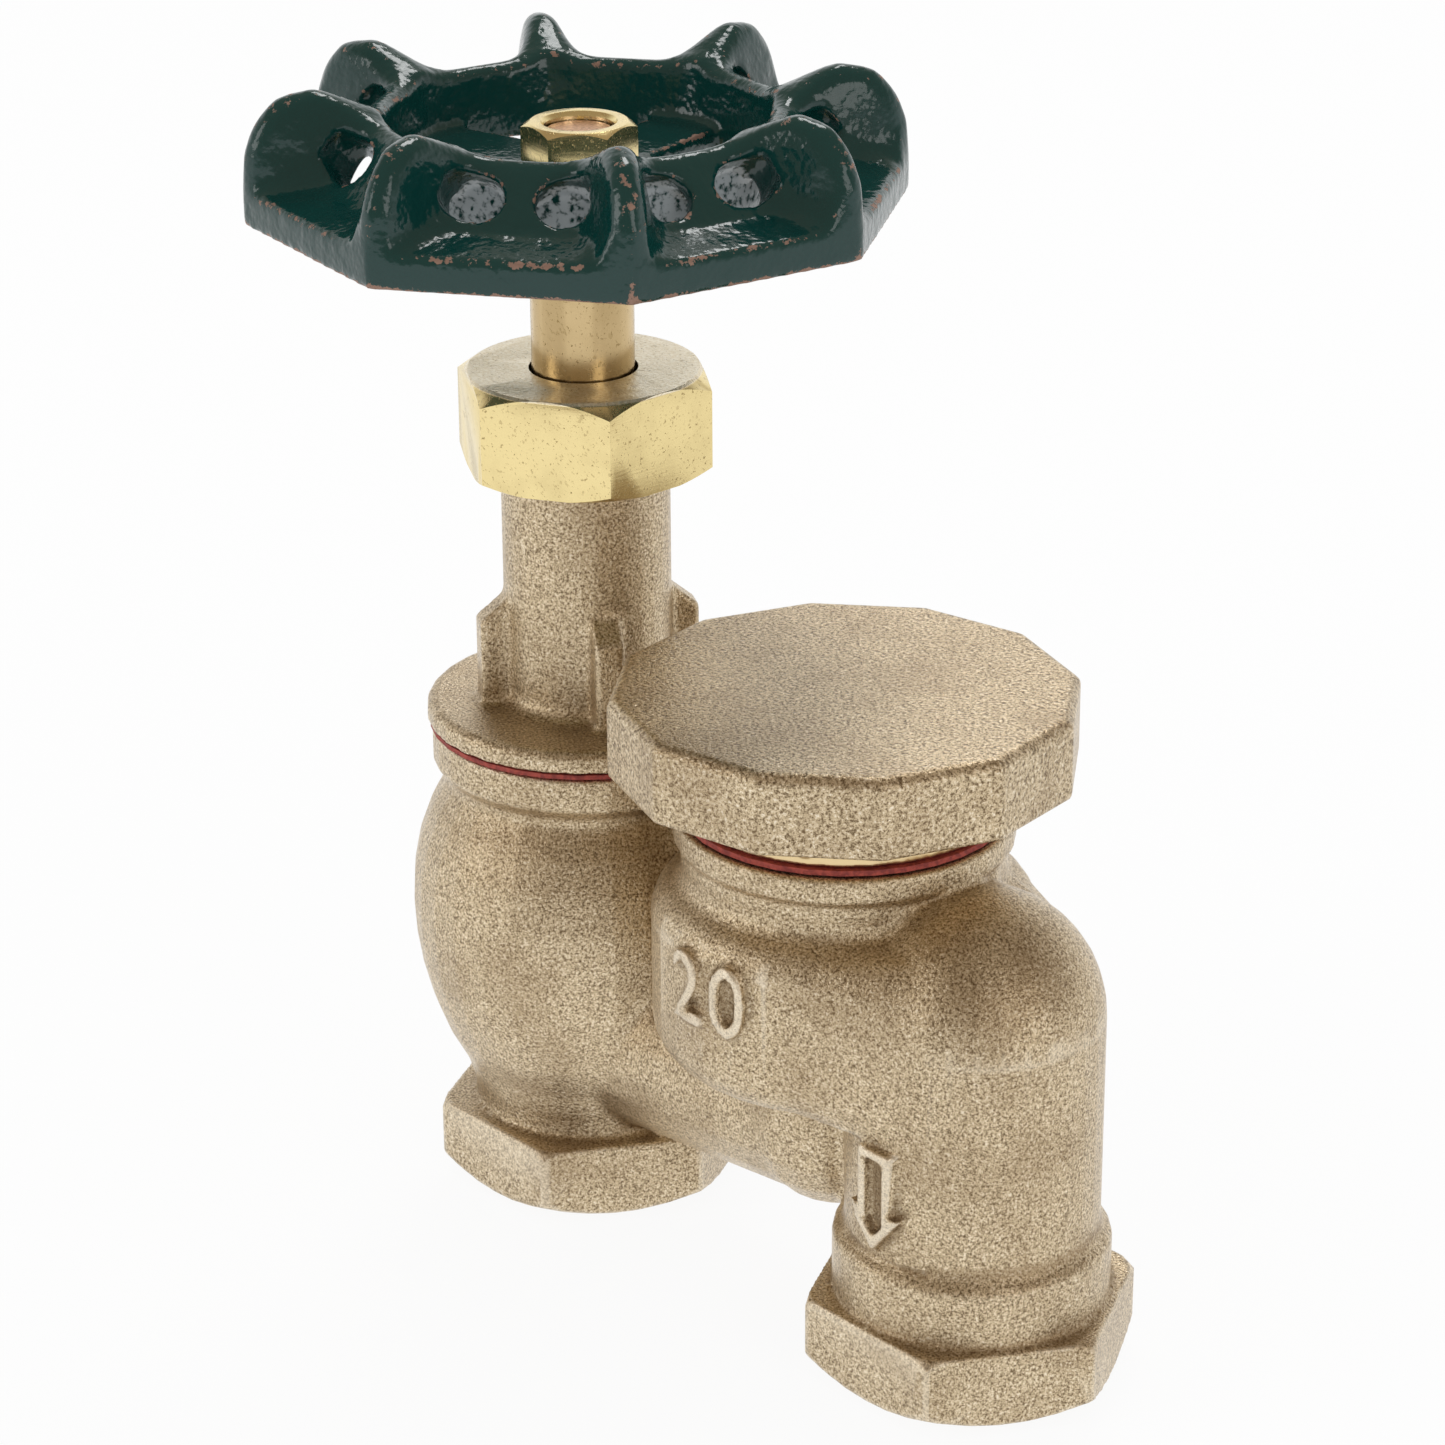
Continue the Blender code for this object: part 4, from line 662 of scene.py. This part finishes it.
bowl_number = raised_number("bowl_number", "20")
wrap_round(bowl_number, CAP_X, NUMBER_RADIUS, NUMBER_FACING, NUMBER_HEIGHT)
print("number has", len(bowl_number.data.vertices), "points")

# %% [markdown]
# A short curved ridge, left by the mould, runs over the neck below the globe. Its middle line is
# drawn point by point, turned into a curve with a round section, and made a mesh again.

# %% Mould ridge on the neck
# Each row is an angle in degrees, then a height and a distance from the inlet's axis in millimetres.
RIDGE_PATH = ((-100.0, 19.4, 16.3), (-96.0, 18.5, 15.9), (-92.0, 17.4, 15.3), (-88.4, 15.6, 14.6),
              (-86.6, 14.0, 14.2), (-86.0, 12.4, 14.0))
RIDGE_THICKNESS = 0.75 * MM

ridge_points = []
for plan, height, radius in RIDGE_PATH:
    turn = math.radians(plan)
    ridge_points.append(Vector((INLET_X + radius * MM * math.cos(turn), radius * MM * math.sin(turn),
                                height * MM)))
draw_line("neck_ridge", ridge_points)
leave_edit()
bpy.ops.object.convert(target="CURVE")
neck_ridge = bpy.context.object
neck_ridge.data.bevel_depth = RIDGE_THICKNESS
neck_ridge.data.bevel_resolution = 3
neck_ridge.data.use_fill_caps = True
bpy.ops.object.convert(target="MESH")
neck_ridge = bpy.context.object
print("ridge has", len(neck_ridge.data.vertices), "points")

# %% [markdown]
# Each socket carries a pipe thread. A small triangle at the wall is swept up a helix by the Screw
# modifier, its open ends are filled, and the remesh later fuses the ridge with the wall.

# %% Pipe threads in the two sockets
PITCH = 1.814 * MM
THREAD_TURNS, THREAD_STEPS = 7, 48
THREAD_WALL, THREAD_TIP, THREAD_START = 12.5 * MM, 11.1 * MM, 0.9 * MM
THREAD_HALF = 0.47 * PITCH
JOIN_WITHIN = 0.002 * MM


def socket_thread(name, axis_x):
    ridge = flat_plate(name, [(THREAD_WALL, -THREAD_HALF), (THREAD_TIP, 0.0),
                              (THREAD_WALL, THREAD_HALF)])
    bpy.ops.transform.rotate(value=math.radians(-90), orient_axis="X", center_override=(0, 0, 0))
    bpy.ops.mesh.delete(type="ONLY_FACE")
    leave_edit()
    low = min(vertex.co.z for vertex in ridge.data.vertices)
    for vertex in ridge.data.vertices:
        vertex.co.z += THREAD_START - low
    apply_modifier(ridge, "SCREW", angle=math.tau, iterations=THREAD_TURNS, screw_offset=PITCH,
                   steps=THREAD_STEPS, render_steps=THREAD_STEPS, axis="Z", use_merge_vertices=False)
    edit_all(ridge)
    bpy.ops.mesh.remove_doubles(threshold=JOIN_WITHIN)
    bpy.ops.mesh.fill_holes(sides=0)
    bpy.ops.mesh.normals_make_consistent(inside=False)
    leave_edit()
    for vertex in ridge.data.vertices:
        vertex.co.x += axis_x
    return ridge


inlet_thread = socket_thread("inlet_thread", INLET_X)
outlet_thread = socket_thread("outlet_thread", OUTLET_X)
print("thread ridges have", len(inlet_thread.data.vertices), "points each")

# %% [markdown]
# The body is one casting. Arrow, number, ridge and threads are melted into the copy of its solid,
# the remesh makes one skin of it all, and the hollows where globe, crossover, bowl and leg meet are
# smoothed until they flow into each other. Marks, threads and the sockets' flats stay out of that,
# and are only softened a little. The points on arrow and number are stored as marks, so that the
# bronze can paint a shadow at the foot of each, and rub its top pale with a painted highlight.

# %% Body casting
BODY_SKIN = 0.40
FLOW_ROUNDS, FLOW_DEPTHS = 26, (0.12, 0.10)
LAST_ON_MARKS = 0.22
# A mark's zone is half its width, how far forward it starts, and its lowest and highest point.
ARROW_ZONE = (6.0, -12.0, 17.6, 32.2)
NUMBER_ZONE = (8.5, -18.5, 38.6, 50.0)
THREAD_REACH, THREAD_TOP = 13.0, 16.0
SOCKET_EDGE, FLOW_ABOVE = 10.8, 0.4
LEG_SIDE, TOP_OF_LEG, TOP_ELSEWHERE = 10.0, 55.6, 54.0


def inside(values, low, high):
    return (values > low) & (values < high)


def on_mark(x, y, z, axis_x, half_width, front, low, high):
    return inside(x - axis_x / MM, -half_width, half_width) & (y < front) & inside(z, low, high)


def body_zones(piece):
    """Which points may flow into each other, which lie on a mark, and which on threads and flats."""
    x, y, z = points_of(piece).T
    marked = on_mark(x, y, z, OUTLET_X, *ARROW_ZONE) | on_mark(x, y, z, CAP_X, *NUMBER_ZONE)
    from_axis = np.minimum(np.hypot(x - INLET_X / MM, y), np.hypot(x - OUTLET_X / MM, y))
    threaded = (from_axis < THREAD_REACH) & (z < THREAD_TOP)
    top = np.where(x > CAP_X / MM + LEG_SIDE, TOP_OF_LEG, TOP_ELSEWHERE)
    flowing = inside(z, SOCKET_EDGE + FLOW_ABOVE, top) & ~threaded & ~marked
    return flowing, marked, threaded | (z < SOCKET_EDGE)


body = copy_of_solid("body", "body_casting")
melt_in(body, arrow, bowl_number, neck_ridge, inlet_thread, outlet_thread)
new_skin(body, BODY_SKIN)
for depth in FLOW_DEPTHS:
    flowing, marked, kept = body_zones(body)
    soften(body, FLOW_ROUNDS, hollows(body, depth) * flowing)
flowing, marked, kept = body_zones(body)
soften(body, LAST_ROUNDS, np.where(marked | kept, LAST_ON_MARKS, 1.0))
thin_out(body)
keep_relief(body)
flowing, marked, kept = body_zones(body)
keep_values(body, "mark", marked)
hand_over(body, "valve_body", "cast_bronze", body_bronze, "body")

# %% [markdown]
# The bonnet, a tube with four bracing ribs on a flange, is cast and finished the same way. Its bore
# is machined to clear the stem's thread, so only the outside is smoothed.

# %% Bonnet casting
BONNET_SKIN = 0.38
BORED_OUT = 8.8
RIBS_FROM, RIBS_TO = 60.6, 88.0

bonnet = copy_of_solid("bonnet", "bonnet_casting")
new_skin(bonnet, BONNET_SKIN)
x, y, z = points_of(bonnet).T
outside = np.hypot(x - INLET_X / MM, y) > BORED_OUT
fillets = hollows(bonnet, FILLET_DEPTH) * (outside & inside(z, RIBS_FROM, RIBS_TO))
soften(bonnet, FILLET_ROUNDS, fillets)
soften(bonnet, LAST_ROUNDS, outside.astype(float))
thin_out(bonnet)
keep_relief(bonnet)
hand_over(bonnet, "valve_body", "cast_bronze", bonnet_bronze, "bonnet")

# %% [markdown]
# The cap of the vacuum breaker is a flat twelve-sided casting with softly rounded edges. A finer
# skin keeps its low steps, and a few rounds of smoothing all over it break the edges as sand does.

# %% Vacuum breaker cap
CAP_SKIN = 0.32

cap = copy_of_solid("vacuum_breaker_cap", "cap_casting")
new_skin(cap, CAP_SKIN)
soften(cap, LAST_ROUNDS)
thin_out(cap)
keep_relief(cap)
hand_over(cap, "valve_body", "cast_bronze", cap_bronze, "vacuum_breaker_cap")

# %% [markdown]
# The handwheel is the roughest casting of all, and the enamel rounds its edges further, so it is
# smoothed longest, and the tops of its lobes once more. The wall inside its hollow rim is stored
# with the skin: it is the part that faces outwards behind the skirt, where the enamel gets a painted
# reflection in grey.

# %% Handwheel casting
WHEEL_SKIN = 0.40
ENAMEL_ROUNDS, LOBE_ROUNDS = 14, 36
# Heights below are in millimetres over WHEEL_HEIGHT, radii from the stem's axis.
WHEEL_HEIGHT = 118.0
LOBES_FROM, LOBES_RISE, LOBES_BEYOND = 10.0, 1.5, 23.0
HOLLOW_RADII, HOLLOW_HEIGHTS = (20.0, 23.6), (0.3, 9.0)
FACING_OUT = 0.4


def wheel_places(piece):
    """Where each point is across the wheel, its radius, and its height."""
    x, y, z = points_of(piece).T
    across = np.stack([x - INLET_X / MM, y], axis=1)
    return across, np.hypot(*across.T), z - WHEEL_HEIGHT


def keep_hollow(piece):
    """Mark the wall inside the hollow rim: it faces outwards, behind the skirt."""
    across, radius, height = wheel_places(piece)
    outwards = (vectors_of(piece, "normal")[:, :2] * across).sum(axis=1) / np.maximum(radius, 1.0)
    hidden = inside(radius, *HOLLOW_RADII) & inside(height, *HOLLOW_HEIGHTS)
    values = np.clip(outwards / FACING_OUT, 0.0, 1.0) * hidden
    keep_values(piece, "hollow", values)
    print("hollow wall has", int((values > 0.5).sum()), "points")


wheel = copy_of_solid("handwheel", "wheel_casting")
new_skin(wheel, WHEEL_SKIN)
soften(wheel, FILLET_ROUNDS, hollows(wheel, FILLET_DEPTH))
soften(wheel, ENAMEL_ROUNDS)
across, radius, height = wheel_places(wheel)
lobe_tops = np.clip((height - LOBES_FROM) / LOBES_RISE, 0.0, 1.0) * (radius > LOBES_BEYOND)
soften(wheel, LOBE_ROUNDS, lobe_tops)
thin_out(wheel)
keep_relief(wheel)
keep_hollow(wheel)
hand_over(wheel, "stem_and_wheel", "green_enamel", enamel, "handwheel")

# %% [markdown]
# Turned and milled brass keeps crisp edges, so the nuts aren't remeshed. A hexagon bar is cut to
# length, and a cone on a lathe takes its corners down: here a cylinder with six sides is
# intersected with a turned blank and bored. The blank and the bore are outlines spun round the axis.

# %% Tools for turned brass
ROUND = 96


def turned(name, outline, axis_x):
    """Draw a closed outline of (radius, height) by extruding a point, and spin it round an axis."""
    piece = flat_plate(name, outline)
    bpy.ops.mesh.delete(type="ONLY_FACE")
    leave_edit()
    for vertex in piece.data.vertices:
        vertex.co = (vertex.co.x, 0.0, vertex.co.y)
    edit_all(piece)
    bpy.ops.mesh.spin(steps=ROUND, angle=math.tau, center=(0, 0, 0), axis=(0, 0, 1))
    bpy.ops.mesh.select_all(action="SELECT")
    bpy.ops.mesh.remove_doubles(threshold=JOIN_WITHIN)
    bpy.ops.mesh.delete_loose()
    bpy.ops.mesh.select_all(action="SELECT")
    bpy.ops.mesh.normals_make_consistent(inside=False)
    leave_edit()
    for vertex in piece.data.vertices:
        vertex.co.x += axis_x
    return piece


def hexagon_bar(name, flats, low, high, turn, axis_x):
    bpy.ops.object.select_all(action="DESELECT")
    bpy.ops.mesh.primitive_cylinder_add(vertices=6, radius=flats / math.sqrt(3.0), depth=high - low,
                                        location=(0, 0, 0.5 * (low + high)), rotation=(0, 0, turn))
    piece = bpy.context.object
    piece.name = name
    bpy.ops.object.transform_apply(location=True, rotation=True, scale=True)
    for vertex in piece.data.vertices:
        vertex.co.x += axis_x
    return piece


def shape_with(piece, tool, operation):
    apply_modifier(piece, "BOOLEAN", object=tool, operation=operation, solver="EXACT")
    bpy.data.objects.remove(tool)


print("turning tools ready")

# %% [markdown]
# A cut nut is then finished by hand: a hair of bevel breaks its edges so that they catch the light,
# and the faces that meet at a small angle are shaded as one round surface. Each flat stores its own
# amount of painted shade, and the edges between flats are marked, which the brass paints pale,
# partly as wear and partly as a painted highlight.

# %% Tools for finishing a nut
BREAK_ABOVE, SMOOTH_BELOW = math.radians(28), math.radians(35)
# How much painted shade each flat of a hexagon gets.
FLAT_PAINTED_SHADES = (0.0, 0.7, 0.25, 0.9, 0.4, 0.6)
NO_TONE, EDGE_TONE = 0.0, -1.0
SIXTH = math.radians(60.0)
UPRIGHT_WITHIN, FLAT_WITHIN = 0.3, 0.1


def shade_round(piece):
    take_hold(piece)
    bpy.ops.object.shade_smooth_by_angle(angle=SMOOTH_BELOW)


def crisp(piece, bevel):
    """Break the sharp edges a little and shade the rest smooth."""
    apply_modifier(piece, "BEVEL", width=bevel, segments=2, limit_method="ANGLE",
                   angle_limit=BREAK_ABOVE, harden_normals=False)
    shade_round(piece)


def mark_flats(piece, turn):
    """Give each flat of a hexagon its own amount of painted shade, and mark the edges between flats.
    """
    tones = []
    for face in piece.data.polygons:
        sixths = (math.atan2(face.normal.y, face.normal.x) - turn) / SIXTH
        if abs(face.normal.z) >= UPRIGHT_WITHIN:
            tones.append(NO_TONE)
        elif abs(sixths - round(sixths)) < FLAT_WITHIN:
            tones.append(FLAT_PAINTED_SHADES[round(sixths) % len(FLAT_PAINTED_SHADES)])
        else:
            tones.append(EDGE_TONE)
    piece.data.attributes.new("facet", "FLOAT", "FACE").data.foreach_set("value", tones)
    print(piece.name, "has", tones.count(EDGE_TONE), "edge faces")


def cut_nut(name, flats, turn, low, high, blank, bore, bevel):
    """Cut a hexagon bar to a blank's outline, bore it and break its edges."""
    piece = hexagon_bar(name, flats, low, high, turn, INLET_X)
    shape_with(piece, turned(name + "_blank", blank, INLET_X), "INTERSECT")
    shape_with(piece, turned(name + "_bore", bore, INLET_X), "DIFFERENCE")
    crisp(piece, bevel)
    mark_flats(piece, turn)
    print(name, "from", round(low, 4), "to", round(high, 4))
    return piece


print("finishing tools ready")

# %% [markdown]
# The packing nut screws onto the bonnet and presses the packing down. Its top is turned to a wide
# flat ring with a chamfer that leaves the familiar arcs on the six sides.

# %% Packing nut
NUT_FLATS, NUT_TURN = 26.1 * MM, math.radians(-29.7 - 30.0)
NUT_CORNER = NUT_FLATS / math.sqrt(3.0) + 0.2 * MM
NUT_RING, NUT_BASE, NUT_ENDS = 13.0 * MM, 13.3 * MM, 12.0 * MM
NUT_CHAMFER, NUT_UNDERCUT = 1.7 * MM, 1.1 * MM
NUT_HOLE, NUT_THREAD, NUT_ROOF = 6.15 * MM, 9.9 * MM, 3.0 * MM
NUT_BEVEL = 0.16 * MM

nut_low, nut_high = (corner[2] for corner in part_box("packing_nut"))
nut_under, nut_over, nut_roof = nut_low - MM, nut_high + MM, nut_high - NUT_ROOF
nut_blank = [
    (0.0, nut_over), (NUT_ENDS, nut_over), (NUT_RING, nut_high), (NUT_CORNER, nut_high - NUT_CHAMFER),
    (NUT_CORNER, nut_low + NUT_UNDERCUT), (NUT_BASE, nut_low), (NUT_ENDS, nut_under), (0.0, nut_under)]
nut_bore = [
    (0.0, nut_over), (NUT_HOLE, nut_over), (NUT_HOLE, nut_roof), (NUT_THREAD, nut_roof),
    (NUT_THREAD, nut_under), (0.0, nut_under)]
packing_nut = cut_nut("packing_nut_piece", NUT_FLATS, NUT_TURN, nut_low, nut_high,
                      nut_blank, nut_bore, NUT_BEVEL)
hand_over(packing_nut, "valve_body", "bright_brass", nut_brass, "packing_nut")

# %% [markdown]
# The handwheel's nut is the same kind of piece, smaller, with the threaded tip of the stem standing
# a little below its upper face.

# %% Handwheel nut
WHEEL_NUT_FLATS, WHEEL_NUT_TURN = 11.15 * MM, math.radians(-12.1 - 30.0)
wheel_nut_corner = WHEEL_NUT_FLATS / math.sqrt(3.0)
WHEEL_NUT_CORNER, WHEEL_NUT_BASE = wheel_nut_corner + 0.1 * MM, wheel_nut_corner - 1.2 * MM
WHEEL_NUT_RING, WHEEL_NUT_END = 5.4 * MM, 4.2 * MM
WHEEL_NUT_CHAMFER, WHEEL_NUT_UNDERCUT = 0.75 * MM, 0.4 * MM
WHEEL_NUT_MOUTH, WHEEL_NUT_HOLE = 4.5 * MM, 3.9 * MM
MOUTH_OVER, MOUTH_DEEP = 0.4 * MM, 0.5 * MM
WHEEL_NUT_BEVEL = 0.10 * MM

nut_low, nut_high = (corner[2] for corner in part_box("handwheel_nut"))
nut_under, nut_over = nut_low - MM, nut_high + MM
nut_blank = [
    (0.0, nut_over), (WHEEL_NUT_END, nut_over), (WHEEL_NUT_RING, nut_high),
    (WHEEL_NUT_CORNER, nut_high - WHEEL_NUT_CHAMFER), (WHEEL_NUT_CORNER, nut_low + WHEEL_NUT_UNDERCUT),
    (WHEEL_NUT_BASE, nut_under), (0.0, nut_under)]
nut_bore = [
    (0.0, nut_high + MOUTH_OVER), (WHEEL_NUT_MOUTH, nut_high + MOUTH_OVER),
    (WHEEL_NUT_HOLE, nut_high - MOUTH_DEEP), (WHEEL_NUT_HOLE, nut_under), (0.0, nut_under)]
wheel_nut = cut_nut("wheel_nut_piece", WHEEL_NUT_FLATS, WHEEL_NUT_TURN, nut_low, nut_high,
                    nut_blank, nut_bore, WHEEL_NUT_BEVEL)
hand_over(wheel_nut, "stem_and_wheel", "bright_brass", wheel_nut_brass, "handwheel_nut")

# %% [markdown]
# The stem's solid has the right steps, but its flat sides would show as stripes in polished metal.
# A merged copy with smooth shading between its edges turns the sides into one round surface.

# %% Stem
stem = copy_of_solid("stem", "stem_turned")
shade_round(stem)
hand_over(stem, "stem_and_wheel", "stem_brass", stem_brass, "stem")
print("stem has", len(stem.data.polygons), "faces")

# %% [markdown]
# Everything else already has its right shape as a solid, so it only gets its finish.

# %% Finishes of the remaining solids
finishes = {
    "bonnet_gasket": fibre, "cap_gasket": fibre, "packing_gland": inner_brass,
    "packing_ring_1": graphite, "packing_ring_2": graphite, "packing_ring_3": graphite,
    "disc_holder": inner_brass, "seat_washer": rubber, "seat_washer_screw": inner_brass,
    "disc_lock_nut": inner_brass, "air_seat_ring": inner_brass, "float": moulding,
    "float_seal": rubber, "float_washer": inner_brass, "float_nut": inner_brass,
}
for node, finish in finishes.items():
    for slot in nodes[node].material_slots:
        slot.material = finish
print("finished", len(finishes), "solids as they are")

# %% [markdown]
# The studio is a white tent, and its pale floor keeps the valve's own soft shadow. To the camera,
# and in polished metal, the floor glows nearly white, so that no edge of it shows. From below it is
# clear, so that the sockets can be looked into.

# %% Floor
FLOOR_RADIUS, FLOOR_HEIGHT = 1.6, -0.0002
FLOOR_GREY = paint(0.92, 0.92, 0.92)
FLOOR_GLOW = 0.92


def seen_by(start, *rays):
    """1 for the kinds of ray named, and 0 for all others."""
    share = 0.0
    for ray in rays:
        share = share + start.node("ShaderNodeLightPath", out=ray)
    return start.maths("MINIMUM", share, 1.0)


def close_tree(owner, kind, surface):
    output = owner.node_tree.nodes.new(kind)
    owner.node_tree.links.new(surface.socket, output.inputs["Surface"])


bpy.ops.object.select_all(action="DESELECT")
bpy.ops.mesh.primitive_circle_add(vertices=96, radius=FLOOR_RADIUS, fill_type="NGON",
                                  location=(0, 0, FLOOR_HEIGHT))
floor = bpy.context.object
floor.name = "studio_floor"
floor_finish = bpy.data.materials.new("studio_floor")
floor_finish.use_nodes = True
floor_finish.node_tree.nodes.clear()
start = Field(floor_finish.node_tree)
matte = start.node("ShaderNodeBsdfDiffuse", None, {"Color": FLOOR_GREY})
glow = start.node("ShaderNodeEmission", None, {"Color": WHITE, "Strength": 1.0})
seen = seen_by(start, "Is Camera Ray", "Is Glossy Ray", "Is Transmission Ray")
above = start.node("ShaderNodeMixShader", None, {0: seen * FLOOR_GLOW, 1: matte, 2: glow})
from_below = start.node("ShaderNodeNewGeometry", out="Backfacing")
clear = start.node("ShaderNodeBsdfTransparent")
close_tree(floor_finish, "ShaderNodeOutputMaterial",
           start.node("ShaderNodeMixShader", None, {0: from_below, 1: above, 2: clear}))
floor.data.materials.append(floor_finish)
print("floor ready")

# %% [markdown]
# To the camera the tent is plain white. Metal mirrors it too, and there it rises higher behind the
# valve than in front, and above it opens to a dim, warm room, so that curved metal shades off
# towards its top. All other light from it is an even white, weaker than what the camera sees.

# %% Surround
AMBIENT = 0.70
OPEN_FROM, OPEN_TO = -0.10, 0.50
OPEN_TONE = paint(0.340, 0.275, 0.210)
FRONT_TILT = 0.40

world = bpy.data.worlds.new("studio_tent")
bpy.context.scene.world = world
world.use_nodes = True
world.node_tree.nodes.clear()
start = Field(world.node_tree)
direction = start.node("ShaderNodeTexCoord", out="Generated")
front = start.node("ShaderNodeVectorMath", {"operation": "DOT_PRODUCT"},
                   {0: direction, 1: (math.sin(AZIMUTH), -math.cos(AZIMUTH), 0.0)}, "Value")
overhead = (part_of(direction, "Z") + FRONT_TILT * front).step(OPEN_FROM, OPEN_TO)
mirrored = start.mix(overhead, WHITE, OPEN_TONE)
ambient = start.node("ShaderNodeBackground", None, {"Color": WHITE, "Strength": AMBIENT})
tent = start.node("ShaderNodeBackground", None, {"Color": mirrored, "Strength": 1.0})
white = start.node("ShaderNodeBackground", None, {"Color": WHITE, "Strength": 1.0})
in_metal = seen_by(start, "Is Glossy Ray", "Is Transmission Ray")
surface = start.node("ShaderNodeMixShader", None, {0: in_metal, 1: ambient, 2: tent})
to_camera = seen_by(start, "Is Camera Ray")
close_tree(world, "ShaderNodeOutputWorld",
           start.node("ShaderNodeMixShader", None, {0: to_camera, 1: surface, 2: white}))
print("surround ready")

# %% [markdown]
# Three soft lamps give the light a direction. The strongest stands above and behind the valve, and
# two weaker ones to the left and right of the camera. Wide discs keep their shadows soft.

# %% Lamps
LAMPS_AIM = Vector((0, 0, 0.06))
# Each lamp has a place in metres, a power in watts and a width in metres.
LAMPS = {
    "left_lamp": ((-0.45, -0.95, 0.42), 1.2, 0.45),
    "right_lamp": ((0.95, -0.10, 0.42), 1.0, 0.45),
    "top_lamp": ((-0.35, 0.45, 0.90), 2.0, 0.35),
}

for name, (place, power, width) in LAMPS.items():
    lamp = bpy.data.lights.new(name, "AREA")
    lamp.energy = power
    lamp.shape = "DISK"
    lamp.size = width
    holder = bpy.data.objects.new(name, lamp)
    holder.location = place
    holder.rotation_euler = (Vector(place) - LAMPS_AIM).to_track_quat("Z", "Y").to_euler()
    bpy.context.collection.objects.link(holder)
bpy.context.scene.view_settings.view_transform = "Standard"
print("studio ready with", len(LAMPS), "lamps")
